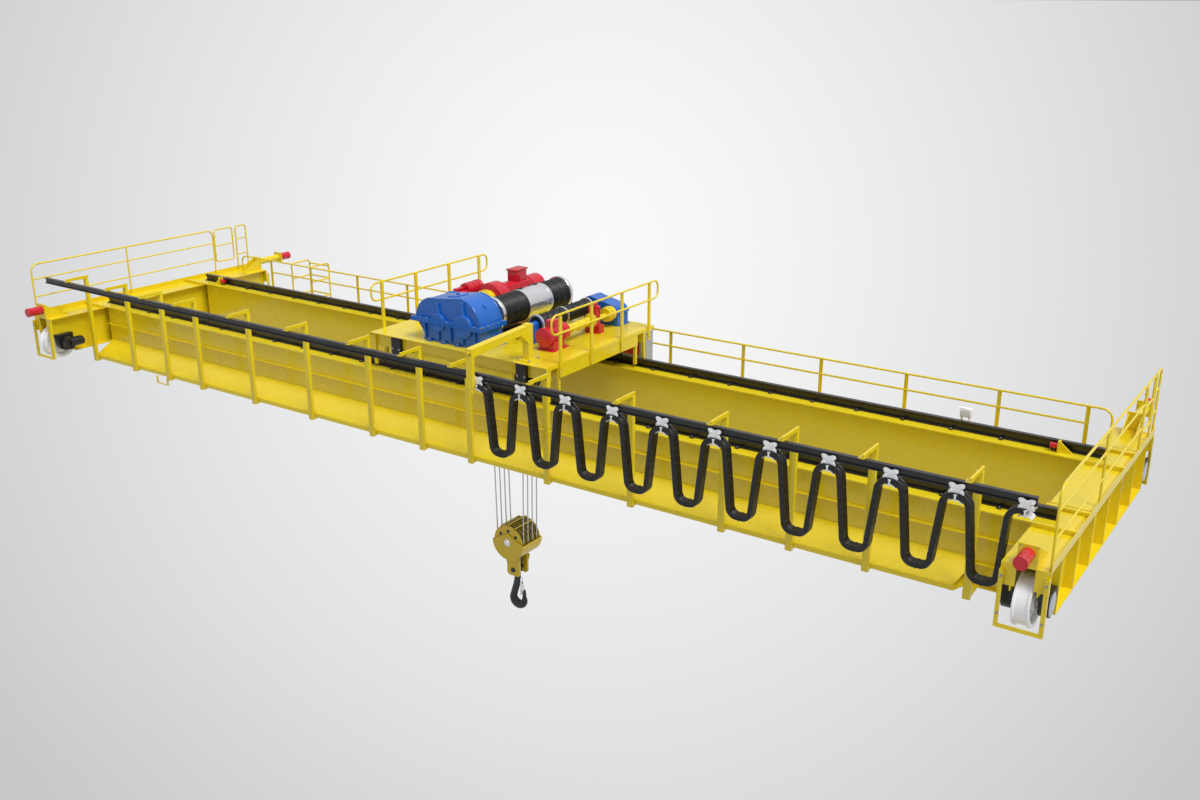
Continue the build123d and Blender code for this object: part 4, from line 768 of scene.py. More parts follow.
# %% Couplings
aux_line_x, aux_line_z = 1.33, 1.73
step, rim = 1.04, 1.12
half_coupling = [(0.34, 1.0), (0.36, rim), (0.49, rim), (0.495, step)]
couplings = [(motor_x, motor_z, 0.012, 0.232, 0.172), (aux_line_x, aux_line_z, -0.176, -0.112, 0.112),
             (aux_line_x, aux_line_z, 0.573, 0.640, 0.112), (aux_line_x, aux_line_z, 1.042, 1.226, 0.122)]
dressed = []
for x, z, y0, y1, radius in couplings:
    length = y1 - y0
    flanges = half_coupling + [(1 - a, r) for a, r in reversed(half_coupling)]
    outline = [(0.0, radius * 0.5), (0.0, radius * 0.94), (0.006, radius)]
    outline += [(length * a, radius * r) for a, r in flanges]
    outline += [(length - 0.006, radius), (length, radius * 0.94), (length, radius * 0.5)]
    dressed.append(turned("Y", (x, y0, z), outline, 48))
    bolts("trolley", "-Y", ring(x, y0 + 0.355 * length, z, radius * 1.06, 10), 0.45)
shaft_ring = [(0.0, 0.060), (0.0, 0.078), (0.004, 0.082), (0.030, 0.082), (0.034, 0.078), (0.034, 0.060)]
dressed += [turned("Y", (aux_line_x, y, aux_line_z), shaft_ring, 36) for y in (0.0, 0.2, 0.4)]
settle(dressed, "coupling_rims", "yellow_paint", "trolley", 25)
print("couplings", len(couplings))

# %% [markdown]
# A thruster brake has a round thruster, a lever above it and a spring in a tube, with two shoes that grip the
# drum. The stands are solids; the levers, the rings round the thruster, the caps and the pins are made here.

# %% Brakes
brake_x, thrust_r = -1.13, 0.12
thruster_lid = [(0.0, 0.0), (0.0, thrust_r), (0.012, thrust_r + 0.008), (0.040, thrust_r + 0.008),
                (0.052, thrust_r - 0.004), (0.060, thrust_r * 0.6), (0.060, 0.0)]
thruster_ring = [(0.0, -0.01), (0.0, 0.006), (0.003, 0.009), (0.017, 0.009), (0.020, 0.006), (0.020, -0.01)]
spring_cup = [(0.0, 0.0), (0.0, 0.050), (0.006, 0.056), (0.050, 0.056), (0.060, 0.046), (0.060, 0.0)]
brake_bits = [
    turned("Y", (brake_x, 0.557, 2.0), thruster_lid, 40),
    bar((-1.175, -0.06, 2.03), (-1.085, 0.22, 2.075), 0.010),
    rod("X", 0.028, (brake_x, 0.05, 1.90), 0.32, 0.004, 24),
    bar((-1.28, -0.12, 1.50), (-0.98, 0.60, 1.525), 0.006),
    bar((1.235, 0.60, deck_top), (1.425, 0.84, deck_top + 0.022), 0.005),
    rod("X", 0.022, (aux_line_x, 0.72, 1.945), 0.22, 0.004, 20),
    turned("Z", (aux_line_x, 0.72, 1.955), spring_cup, 32)]
for y in (0.253, 0.373, 0.493):
    brake_bits.append(turned("Y", (brake_x, y, 2.0), [(a, thrust_r + b) for a, b in thruster_ring], 40))
brake_bits += [bar((x - 0.012, 0.0, 1.60), (x + 0.012, 0.10, 1.93), 0.006) for x in (-1.265, -0.995)]
brake_bits += [bar((1.24, y - 0.012, 1.80), (1.42, y + 0.012, 1.93), 0.006) for y in (0.665, 0.765)]
settle(brake_bits, "brake_levers", "red_paint", "trolley", 30)
bolts("trolley", "+Z", [(x, y, 1.525) for x in (-1.262, -0.998) for y in (-0.09, 0.25, 0.57)], 0.9)
bolts("trolley", "+X", [(-0.971, 0.05, 1.90)], 1.1)
print("brake pieces", len(brake_bits))

# %% [markdown]
# The small gearbox has its seam, its ribs and its round bosses too, at a smaller scale.

# %% Auxiliary gearbox
low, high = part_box("aux_gearbox")
bits = [bar((low[0] - 0.025, low[1] - 0.004, 1.715), (high[0] + 0.020, high[1] + 0.02, 1.745), 0.005),
        bar((low[0] - 0.03, low[1] + 0.02, 1.50), (high[0] + 0.03, high[1] + 0.01, 1.522), 0.004),
        rod("Z", 0.022, (1.10, 1.40, 1.93), 0.06, 0.005, 18)]
for x, z, r in ((0.88, 1.80, 0.10), (aux_line_x, aux_line_z, 0.075), (1.11, 1.74, 0.06)):
    outline = [(0.0, 0.0), (0.0, r), (0.030, r * 0.94), (0.036, r * 0.8), (0.036, 0.0)]
    bits.append(turned("Y", (x, high[1], z), outline, 36))
    bolts("trolley", "+Y", ring(x, high[1] + 0.036, z, r * 0.62, 6), 0.55)
for x in (0.80, 0.95, 1.10, 1.25, 1.42):
    for y0, y1 in ((high[1] - 0.01, high[1] + 0.022), (low[1] - 0.014, low[1] + 0.01)):
        bits.append(bar((x - 0.008, y0, 1.52), (x + 0.008, y1, 1.716), 0.003))
settle(bits, "aux_gearbox_ribs", "blue_paint", "trolley", 30)
bolts("trolley", "+Z", [(x, high[1] + 0.008, 1.745) for x in (0.78, 0.92, 1.06, 1.20, 1.34, 1.44)], 0.55)
print("small gearbox", len(bits))

# %% [markdown]
# Bolts hold the rest of the trolley: the motors' feet, the wheel boxes, the railing posts and the tow post. Long
# aprons close the frame above the wheels, and the tow arm ends in a pin.

# %% Trolley fasteners
bolts("trolley", "+Z", [(motor_x + side * 0.212, y, deck_top + 0.030) for side in (-1, 1)
                        for y in (0.46, 0.72, 0.88, 1.14)], 1.1)
feet = [(x, y) for x in (1.20, 1.46) for y in (-0.62, -0.40)]
pads = [bar((x - 0.045, y - 0.045, deck_top), (x + 0.045, y + 0.045, deck_top + 0.016), 0.004) for x, y in feet]
bolts("trolley", "+Z", [(x, y, deck_top + 0.016) for x, y in feet], 0.8)
settle(pads, "motor_feet", "red_paint", "trolley")
apron_y = 1.385
aprons = []
for side in (-1, 1):
    for wall, facing in ((-1, "-Y"), (1, "+Y")):
        bolts("trolley", facing, [(x + a, side * girder_y + wall * 0.176, 1.2 + b) for x in (-1.305, 1.395)
                                  for a in (-0.075, 0.075) for b in (-0.07, 0.07)], 0.9)
    y = side * apron_y
    aprons.append(bar((-1.12, y - 0.006, 1.02), (1.21, y + 0.006, 1.25), 0.003))
    aprons += [bar((x - 0.03, y - 0.022, 1.02), (x + 0.03, y + 0.006, 1.25), 0.003) for x in (-0.75, -0.1, 0.55, 1.1)]
settle(aprons, "trolley_aprons", "yellow_paint", "trolley")
pin_outline = [(-0.024, 0.0), (-0.024, 0.030), (0.02, 0.030), (0.02, 0.0)]
eye = [turned("Y", (1.235, -2.470, 1.87), pin_outline, 28),
       bar((1.30, -1.33, deck_top), (1.50, -1.13, deck_top + 0.018), 0.004)]
settle(eye, "tow_pin", "black_iron", "trolley")
low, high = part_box("trolley_railings")
for facing, x in (("-X", low[0] + 0.022), ("+X", high[0] - 0.022)):
    bolts("trolley", facing, [(x, y, z) for y in (-1.111, -0.259, 0.631, 1.483) for z in (1.34, 1.40)], 0.7)
bolts("trolley", "+Z", [(1.40 + a, -1.23 + b, deck_top + 0.02) for a in (-0.115, 0.115) for b in (-0.115, 0.115)], 1.1)
print("bolts on the trolley", len(bolt_rows["trolley"]))

# %% [markdown]
# Sheaves are turned with a deep round groove, a thin web and a heavy hub. Four sit side by side in the hook block
# and four more on the trolley, and each keeps the rim and the pitch of its solid. The block's have dark grooves and
# a very dark yellow, which is painted shade between the cheeks.

# %% Sheaves
block = (0.10, 0.0, -2.43)
sheave_half = 0.045
sheave_ys = (-0.195, -0.065, 0.065, 0.195)


def sheave_row(node, rim):
    """Four sheaves on the axle of a solid."""
    low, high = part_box(node)
    x, _, z = middle_of(node)
    half = [(sheave_half, 0.045), (sheave_half, 0.085), (0.016, 0.095), (0.014, rim - 0.085), (0.034, rim - 0.060),
            (sheave_half, rim - 0.012), (sheave_half - 0.004, rim), (sheave_half - 0.014, rim), (0.017, rim - 0.022),
            (0.009, rim - 0.032), (0.0, rim - 0.035)]
    outline = half + [(-a, r) for a, r in reversed(half[:-1])]
    row = [turned("Y", (x, y, z), outline, 56) for y in sheave_ys]
    return row + [rod("Y", 0.045, middle_of(node), high[1] - low[1], 0.003, 28)]


lower = settle(sheave_row("block_sheaves", 0.320), "block_sheaves_turned", "sheave_yellow_painted_shade", "block_sheaves", 25)
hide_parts("block_sheaves")
upper = settle(sheave_row("upper_sheaves", 0.385), "upper_sheaves_turned", "black_iron", "trolley", 25)
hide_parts("upper_sheaves")
groove = [(-0.034, 0.3165), (-0.0175, 0.300), (-0.0105, 0.2915), (0.0, 0.289), (0.0105, 0.2915), (0.0175, 0.300),
          (0.034, 0.3165)]
grooves = [turned("Y", (block[0], y, block[2]), groove, 56) for y in sheave_ys]
settle(grooves, "sheave_grooves", "drum_black", "block_sheaves", 25)
print("sheaves", 2 * len(sheave_ys))

# %% [markdown]
# Eight falls of rope run from the block's sheaves up to those on the trolley, a little wider apart there. Each fall
# has points only at its two ends, so it stays straight and taut.

# %% Hoist ropes
rope_r, upper_z = 0.011, 1.18
falls = []
for y in sheave_ys:
    for side in (-1, 1):
        foot, top = Vector((block[0] + side * 0.297, y, block[2])), Vector((block[0] + side * 0.362, y, upper_z))
        fall = rod("Z", rope_r, (0, 0, 0), (top - foot).length, 0, 20)
        lean = (top - foot).to_track_quat("Z", "Y").to_matrix().to_4x4()
        fall.data.transform(Matrix.Translation((foot + top) / 2) @ lean)
        falls.append(fall)
falls = settle(falls, "rope_falls", "rope_steel", None, 40)
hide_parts("hoist_ropes")
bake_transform(falls)
print("rope falls", len(falls.data.polygons))

# %% [markdown]
# The hook block is yellow plate, coloured darker than the crane's yellow as painted shade: two cheeks that rise to a
# low point over the axle, a rounded shell under the sheaves, and two straps with cut corners. Inside each cheek a
# round guard stands beside the sheaves, its three holes shown as thin dark discs of painted shade, and bars from
# guard to guard keep the ropes in their grooves. The crosshead and the bearing are dark.

# %% Hook block
flat = (block[0], block[2])
cheek_in, cheek_out, shell_in, shell_out = 0.274, 0.288, 0.334, 0.348
strap_top, strap_low, strap_half, cut = block[2] - 0.325, block[2] - 0.730, 0.145, 0.050
pin_z = -3.04
profile = arc(flat, shell_out, 180, 360, 40) + [(block[0], block[2] + 0.174)]
side = [(-strap_half, strap_top), (-strap_half, strap_low + cut),
        (-strap_half + 0.4 * cut, strap_low + 0.35 * cut), (-strap_half + cut, strap_low)]
strap = [(block[0] + x, z) for x, z in side + [(-x, z) for x, z in reversed(side)]]
collar = [(block[0] + x, z) for x, z in ((-0.17, -2.79), (-0.145, -2.90), (0.145, -2.90), (0.17, -2.79),
                                         (0.10, -2.74), (-0.10, -2.74))]
shell = [slab(arc(flat, shell_out, 180, 360, 40) + arc(flat, shell_in, 360, 180, 40), -cheek_in, cheek_in, 0)]
for way in (-1, 1):
    shell.append(slab(profile, way * cheek_in, way * cheek_out, 0.003))
    shell.append(slab(strap, way * 0.100, way * 0.140, 0.004))
    shell.append(slab(collar, way * 0.140, way * 0.152, 0.003))
shell = settle(shell, "block_shell", "block_yellow_painted_shade", "hook_block", 30)
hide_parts("hook_block_frame")
print("block shell", len(shell.data.polygons))


# %% Rope guards and crosshead
def beside(radius, degrees, y):
    """A place on a circle round the block's axle."""
    x, z = on_circle(flat, radius, degrees)
    return x, y, z


cap = [(-0.02, 0.0), (-0.02, 0.070), (0.010, 0.070), (0.016, 0.062), (0.018, 0.044), (0.030, 0.040), (0.034, 0.030),
       (0.034, 0.0)]
guards = [rod("Y", 0.011, beside(0.337, turn, 0), 0.524, 0.002, 14) for turn in (62, 90, 118)]
caps, dark = [], []
for way in (-1, 1):
    guards.append(slab(arc(flat, 0.322, 0, 355, 71), way * 0.252, way * 0.262, 0.002))
    guards += [rod("Y", 0.022, beside(0.322, turn, way * 0.257), 0.010, 0.001, 16) for turn in (62, 90, 118)]
    caps.append(turned("Y", (block[0], way * cheek_out, block[2]), [(way * a, r) for a, r in cap], 40))
    # The guard's three holes are thin dark discs on its face: painted shade in place of the openings.
    dark += [rod("Y", 0.034, beside(0.215, turn, way * 0.2625), 0.002, 0, 28) for turn in (38, 90, 142)]
    dark.append(rod("Y", 0.046, (block[0], way * 0.148, pin_z), 0.024, 0.004, 28))
    dark.append(rod("Y", 0.052, (block[0], way * 0.078, pin_z), 0.06, 0.003, 28))
crosshead = [(-3.095, 0.0452), (-3.095, 0.0775), (-2.986, 0.0775), (-2.986, 0.0452)]
nut_cover = [(-2.915, 0.0), (-2.915, 0.086), (-2.760, 0.090), (-2.760, 0.0)]
dark += [turned("Z", (block[0], 0, 0), outline, 40) for outline in (crosshead, nut_cover)]
settle(guards, "rope_guards", "block_yellow_painted_shade", "hook_block", 30)
settle(caps, "axle_caps", "turned_steel", "hook_block", 30)
settle(dark, "crosshead", "hook_black", "hook_block", 30)
print("guards", len(guards), "dark pieces", len(dark))

# %% [markdown]
# A forged hook is thick where it bends and thin at its point. A curve along its middle line, with a radius at
# every point, gives the round, tapering bar. It is made a mesh and joined with its shank, its nut and the latch's pin.

# %% Hook
hook_x = block[0]
latch_x, latch_z = 0.175, -3.335
route = [((0.100, -3.125), 0.056), ((0.093, -3.230), 0.066), ((0.074, -3.350), 0.069), ((0.046, -3.450), 0.070),
         ((0.014, -3.540), 0.070)]
for degrees in range(160, 386, 15):
    outside = Vector(on_circle((hook_x, -3.693), 0.188, degrees))
    inside = Vector(on_circle((0.127, -3.630), 0.072, degrees))
    route.append((tuple((outside + inside) / 2), (outside - inside).length / 2))
route += [((0.246, -3.550), 0.034), ((0.244, -3.500), 0.029), ((0.242, -3.462), 0.013)]

line = bpy.data.curves.new("hook line", "CURVE")
line.dimensions = "3D"
line.bevel_depth = 1.0
line.bevel_resolution = 7
line.use_fill_caps = True
spline = line.splines.new("NURBS")
spline.points.add(len(route) - 1)
for point, ((x, z), thick) in zip(spline.points, route):
    point.co = (x, 0, z, 1)
    point.radius = thick
spline.order_u = 4
spline.use_endpoint_u = True
spline.resolution_u = 5
pick(linked("hook_forging", line))
bpy.ops.object.convert(target="MESH")
forging = bpy.context.active_object
forging.data.transform(Matrix.Scale(0.84, 4, (0, 1, 0)))

shank = [(-3.30, 0.0), (-3.30, 0.044), (-3.24, 0.046), (-3.225, 0.0455), (-3.10, 0.0449), (-2.985, 0.0449),
         (-2.985, 0.066), (-2.980, 0.068), (-2.930, 0.068), (-2.924, 0.062), (-2.924, 0.0)]
hook = settle([forging, turned("Z", (hook_x, 0, 0), shank, 40),
               bar((hook_x, -0.014, latch_z - 0.019), (0.195, 0.014, latch_z + 0.019), 0.006),
               rod("Y", 0.0089, (latch_x, 0, latch_z), 0.064, 0.001, 20)], "forged_hook", "hook_black", "hook", 40)
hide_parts("hook")

# %% Latch
latch_top, latch_length, narrow, wide = -3.235, 0.331, 0.060, 0.130
latch = slab([(0.168, latch_top), (0.181, latch_top), (0.189, -3.350), (0.203, -3.566), (0.191, -3.566),
              (0.176, -3.350)], -0.5, 0.5, 0)
for vertex in latch.data.vertices:
    down = (latch_top - vertex.co.z) / latch_length
    vertex.co.y *= narrow + (wide - narrow) * min(1.0, max(0.0, down))
ear = [(0.160, -3.316), (0.196, -3.316), (0.196, -3.366), (0.160, -3.366)]
latch = settle([latch] + [slab(ear, way * 0.0165, way * 0.030, 0.003) for way in (-1, 1)],
               "latch_plate", "zinc_steel", "hook_latch", 30)
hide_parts("hook_latch")
print("hook vertices", len(hook.data.vertices))

# %% [markdown]
# A festoon carrier is a pair of pressed plates with four lobes. Rollers sit between them in the rail, and below
# hangs the curved saddle between two straps. One carrier is modelled at the fixed clamp, then copied to each place.

# %% One carrier
festoon_y = -2.35
plate_z, roller_z, saddle_z, saddle_r = 1.445, 1.4723, 1.205, 0.114
plate_inner, plate_outer = 0.048, 0.058
clamp_x = middle_of("festoon_end_clamp")[0]


def lobed_plate(x, way):
    """A plate with four rounded lobes, shaped from a disc and given its thickness."""
    outline = []
    for index in range(64):
        angle = 2 * math.pi * index / 64
        reach = 0.088 - 0.024 * math.cos(4 * angle)
        outline.append((x + 1.15 * reach * math.cos(angle), plate_z + 0.86 * reach * math.sin(angle)))
    plate = slab(outline, festoon_y + way * plate_inner, festoon_y + way * plate_outer, 0)
    return soften(plate, 0.0025)


def one_carrier(x):
    """Plates, rollers, their axles' heads, straps and saddle of one carrier."""
    saddle = arc((x, saddle_z), saddle_r - 0.001, 40, 140, 14) + arc((x, saddle_z), saddle_r - 0.008, 140, 40, 14)
    bits = [slab(saddle, festoon_y - 0.085, festoon_y + 0.085, 0),
            bar((x - 0.020, festoon_y - 0.088, plate_z - 0.076), (x + 0.020, festoon_y + 0.088, plate_z - 0.066),
                0.002)]
    for way in (-1, 1):
        bits.append(lobed_plate(x, way))
        for dx in (-0.065, 0.065):
            for z in (roller_z, 2 * plate_z - roller_z - 0.004):
                bits.append(rod("Y", 0.020, (x + dx, festoon_y + way * (plate_outer + 0.004), z), 0.012, 0.003, 20))
            bits.append(rod("Y", 0.0248, (x + dx, festoon_y + way * 0.030, roller_z), 0.036, 0.003, 24))
        strap_y = festoon_y + way * 0.083
        bits.append(bar((x - 0.012, strap_y - 0.005, saddle_z + saddle_r - 0.030),
                        (x + 0.012, strap_y + 0.005, plate_z - 0.062), 0.002))
    return joined(bits)


model = one_carrier(clamp_x)
carriers = ["festoon_end_clamp"] + ["carrier_" + str(index) for index in range(1, 10)] + ["tow_carrier"]
chain = ["bridge"] + carriers[1:]
places = [middle_of(name)[0] for name in carriers]
for name, body, x in zip(carriers, chain, places):
    twin = settle([copied(model, Matrix.Translation((x - clamp_x, 0, 0)))], name + "_pressed", "zinc_steel", body, 30)
    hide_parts(name)
bpy.data.objects.remove(model)
print("carriers", len(carriers))

# %% [markdown]
# Several flat cables lie on each other and hang in loops between the saddles. Each loop is one ribbed band that
# follows a smooth line from the saddle of one carrier to that of the next.

# %% The line of one loop
band_thick, band_wide = 0.074, 0.146
loop_low = 0.290
truck_inner = 9.465


def rounded(points, radii, step=0.02):
    """Points along a line whose corners are arcs."""
    line = [Vector(points[0])]
    for before, corner, after, radius in zip(points, points[1:], points[2:], radii):
        corner = Vector(corner)
        one, two = (Vector(before) - corner).normalized(), (Vector(after) - corner).normalized()
        half = one.angle(two) / 2
        tangent = radius / math.tan(half)
        centre = corner + (one + two).normalized() * radius / math.sin(half)
        start, stop = corner + one * tangent - centre, corner + two * tangent - centre
        sweep = start.angle(stop)
        count = max(4, int(sweep * radius / step))
        for index in range(count + 1):
            share = index / count
            point = start * math.sin((1 - share) * sweep) + stop * math.sin(share * sweep)
            line.append(centre + point / math.sin(sweep))
    line.append(Vector(points[-1]))
    return line


def loop_line(right, left):
    """The middle line of the band from the left saddle's top to the right one's, as (x, z)."""
    lean = saddle_r + band_thick / 2
    top, low = saddle_z + lean, loop_low + band_thick / 2
    middle, waist = (left + right) / 2, (right - left) * 0.185
    leg = min(right - lean, truck_inner - 0.040 - band_thick / 2)
    points = [(left + 0.0003, top), (left + lean, top), (middle - waist, low), (middle + waist, low), (leg, top),
              (right - 0.0003, top)]
    return rounded(points, [lean * 0.98, waist * 0.8, waist * 0.8, lean * 0.98])


def ribbed_section(lobes=5, steps=6):
    """The outline of the stacked cables: rounded ribs on both faces, as (across, through)."""
    outline = []
    for face in (1, -1):
        for index in range(lobes * steps):
            across = face * (index / steps / lobes - 0.5) * band_wide
            dip = abs(math.sin(math.pi * (index % steps) / steps)) ** 0.5
            outline.append((across, -face * (band_thick / 2 - 0.005 * (1 - dip))))
    return outline


# %% Loops and their ties
def cable_band(right, left):
    """A band of constant section along the loop's line."""
    line = loop_line(right, left)
    section = ribbed_section()
    vertices, faces = [], []
    for index, point in enumerate(line):
        before, after = line[max(index - 1, 0)], line[min(index + 1, len(line) - 1)]
        along = (after - before).normalized()
        for across, through in section:
            vertices.append((point.x - along.y * through, festoon_y + across, point.y + along.x * through))
    count = len(section)
    for row in range(len(line) - 1):
        for index in range(count):
            a, b = row * count + index, row * count + (index + 1) % count
            faces.append((a, b, b + count, a + count))
    faces += [tuple(range(count)), tuple(range(len(vertices) - 1, len(vertices) - count - 1, -1))]
    mesh = bpy.data.meshes.new("loop")
    mesh.from_pydata(vertices, [], faces)
    return face_outward(linked("loop", mesh))


for index, (right, left) in enumerate(zip(places, places[1:])):
    loop = settle([cable_band(right, left)], "cable_loop_" + str(index + 1), "cable_black", None, 50)
    middle, tie_y = (right + left) / 2, band_wide / 2 + 0.003
    tie = bar((middle - 0.008, festoon_y - tie_y, loop_low - 0.003),
              (middle + 0.008, festoon_y + tie_y, loop_low + band_thick + 0.003), 0.002)
    tie = settle([tie], "cable_tie_" + str(index + 1), "black_iron")
    for soft in (loop, tie):
        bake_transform(soft)
    if index == 0:
        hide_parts("festoon_cables")
print("loops", len(places) - 1)

# %% [markdown]
# The trolley's rails are held to the girders by pairs of clips with a bolt each. One clip is modelled as a small
# block with soft edges, and copied along both sides of both rails.

# %% Rail clips
clip_pitch, clip_reach = 0.75, 9.0
flange_top = 0.86

clip = bar((0, 0, 0), (0.06, 0.05, 0.022), 0.004, 1)
clips = []
for index in range(int(2 * clip_reach / clip_pitch) + 1):
    x = -clip_reach + index * clip_pitch
    for rail in (-girder_y, girder_y):
        for wall in (-1, 1):
            y = rail + wall * 0.093
            clips.append(copied(clip, Matrix.Translation((x - 0.03, y - 0.025, flange_top))))
            bolts("bridge", "+Z", [(x, y, flange_top + 0.022)], 0.6)
bpy.data.objects.remove(clip)
settle(clips, "rail_clips", "black_rail", "bridge")
print("rail clips", len(clips))

# %% [markdown]
# Strips cross the trucks' tops beside the girders' ends. Two bare plates sit on the outer web, and the guards in
# front of the wheels have folded edges. The buffers' rubber ends in a rim.

# %% Trucks
truck_x, truck_half, truck_top, web_x = 9.75, 0.285, 0.84, 9.916
strips, plates = [], []
for end in (-1, 1):
    x = end * truck_x
    for y in (-girder_y, girder_y):
        for shift, height in ((-0.33, 0.065), (0.33, 0.065), (0.52, 0.025)):
            strips.append(bar((x - 0.283, y + shift - 0.030, truck_top),
                              (x + 0.283, y + shift + 0.030, truck_top + height), 0.004))
    for y in (-1.26, 1.30):
        plates.append(bar((end * web_x, y - 0.17, 0.32), (end * (web_x + 0.010), y + 0.17, 0.58), 0.004))
settle(strips, "truck_strips", "yellow_paint", "bridge")
settle(plates, "bare_plates", "grey_paint", "bridge")
print("truck strips", len(strips))

# %% Buffers and guards
rim = [(-0.075, 0.085), (-0.070, 0.0872), (-0.012, 0.0872), (-0.001, 0.078), (0.0, 0.070), (-0.006, 0.062),
       (-0.006, 0.0)]
rims, guards = [], []
for x in (-truck_x, truck_x):
    for side, facing, face in ((-1, "-Y", -2.75), (1, "+Y", 3.39)):
        rims.append(turned("Y", (x, face + side * 0.300, 1.0), [(side * a, r) for a, r in rim], 40))
        bolts("bridge", facing, [(x + a, face, 1.0 + b) for a in (-0.095, 0.095) for b in (-0.095, 0.095)], 0.4)
        guard = side * 2.800
        for wall in (-1, 1):
            edge = x + wall * truck_half
            guards.append(bar((edge, guard - 0.006, 0.026), (edge - wall * 0.050, guard + 0.006, 0.755), 0.003, 1))
            bolts("bridge", facing, [(edge - wall * 0.028, guard + side * 0.006, z) for z in (0.20, 0.68)], 0.8)
        guards.append(bar((x - truck_half + 0.052, guard - 0.006, 0.026),
                          (x + truck_half - 0.052, guard + 0.006, 0.072), 0.003, 1))
settle(rims, "buffer_rims", "red_paint", "bridge", 30)
settle(guards, "guard_flanges", "yellow_paint", "bridge", 30)
print("bolts on the bridge", len(bolt_rows["bridge"]))

# %% [markdown]
# Each festoon post stands on a foot plate with a gusset, and its arm holds the rail with a clip and two bolts. A
# stirrup hangs under the left end, and a sloped cover closes the ledge along the front girder.

# %% Festoon posts
post_xs = (-9.368, -8.067, -6.988, -5.983, -4.487, -2.972, -1.473, -0.315, 0.738, 2.279, 3.822, 5.353, 6.411,
           7.522, 8.877)
post_front, post_back = -1.96, -1.902
foot = [(-1.94, -0.188), (-1.90, -0.188), (-1.50, -0.155), (-1.50, -0.149), (-1.94, -0.149)]
arm = [(post_back, 1.615), (-2.385, 1.610), (-2.385, 1.562), (-1.98, 1.547), (-1.955, 1.530), (post_back, 1.530)]
posts = [bar((x - 0.02, -1.955, -0.288), (x + 0.02, -1.935, -0.150), 0.003, 1) for x in (-7.355, -7.046)]
posts.append(bar((-7.375, -1.955, -0.308), (-7.026, -1.935, -0.288), 0.003, 1))
for x in post_xs:
    posts.append(bar((x - 0.050, post_front, -0.190), (x + 0.050, post_back, 1.545), 0.004))
    posts.append(slab(foot, x - 0.040, x + 0.040, 0.003, "X"))
    posts.append(slab(arm, x + 0.018, x + 0.048, 0.003, "X"))
    posts.append(bar((x - 0.030, -2.386, 1.5455), (x + 0.050, -2.290, 1.565), 0.002, 1))
    bolts("bridge", "+Z", [(x - 0.005, y, 1.565) for y in (-2.368, -2.310)], 0.5)
posts = settle(posts, "festoon_posts", "yellow_paint", "bridge")
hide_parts("festoon_brackets")
print("posts", len(post_xs))

# %% Ledge cover
cover_rise, cover_run = 0.240, 0.15
cover = bar((-9.40, -1.885, -0.080), (8.68, -1.465, -0.070), 0.002, 1)
for vertex in cover.data.vertices:
    if vertex.co.y > -1.7:
        vertex.co.z += cover_rise
        vertex.co.x += cover_run if vertex.co.x > 0 else 0.0
settle([cover], "ledge_cover", "yellow_paint", "bridge")
print("ledge cover", len(cover.data.vertices))

# %% [markdown]
# The control cabinet is a sheet-steel box: a door, a cover plate, hinges, a handle, louvres for the warm air and a
# plain red field on its front.

# %% Control cabinet
(x0, y0, z0), (x1, y1, z1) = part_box("control_cabinet")
middle_z = (z0 + z1) / 2
shell = [bar((x0 + 0.02, y0 - 0.018, z0 + 0.03), (x1 - 0.02, y0, z1 - 0.03), 0.006),
         bar((x0 - 0.012, y0 - 0.012, z1), (x1 + 0.012, y1 + 0.012, z1 + 0.018), 0.006)]
shell += [rod("Z", 0.012, (x0 + 0.02, y0 - 0.018, z), 0.09, 0.003, 16) for z in (z0 + 0.20, middle_z, z1 - 0.20)]
dark = [bar((x1 - 0.085, y0 - 0.042, middle_z - 0.06), (x1 - 0.060, y0 - 0.018, middle_z + 0.06), 0.006)]
for index in range(6):
    z = z0 + 0.10 + index * 0.028
    dark.append(bar((x0 + 0.16, y0 - 0.024, z), (x1 - 0.16, y0 - 0.016, z + 0.010), 0.002, 1))
field = bar((x0 + 0.12, y0 - 0.022, z1 - 0.42), (x1 - 0.12, y0 - 0.016, z1 - 0.16), 0.003, 1)
settle(shell, "cabinet_door", "grey_paint", "bridge")
settle(dark, "cabinet_louvres", "black_iron", "bridge")
settle([field], "cabinet_field", "red_paint", "bridge")
print("cabinet", len(shell) + len(dark) + 1)

# %% [markdown]
# A small white box with ribs stands on two legs behind the rear rail, near the right end. It is modelled because
# it stands alone against the pale background.

# %% Sensor on the rail
sensor_x, sensor_y, sensor_low, foot_z = 7.620, 1.450, 1.005, 0.84
sensor = [bar((sensor_x - 0.085, sensor_y - 0.045, sensor_low), (sensor_x + 0.085, sensor_y + 0.045, sensor_low + 0.14),
              0.010)]
for x in (sensor_x - 0.060, sensor_x + 0.060):
    sensor.append(bar((x - 0.012, sensor_y - 0.03, foot_z), (x + 0.012, sensor_y + 0.03, sensor_low + 0.01), 0.003))
    sensor.append(bar((x - 0.030, sensor_y - 0.04, foot_z), (x + 0.030, sensor_y + 0.04, foot_z + 0.008), 0.002))
for index in range(5):
    x = sensor_x - 0.07 + index * 0.032
    sensor.append(bar((x, sensor_y - 0.052, sensor_low + 0.02), (x + 0.012, sensor_y + 0.052, sensor_low + 0.12),
                      0.002, 1))
settle(sensor, "rail_sensor", "wheel_steel", "bridge")
print("sensor at", sensor_x)

# %% [markdown]
# The small drives at the wheels and under the deck get cooling rings and cowls like the big motors' fins.

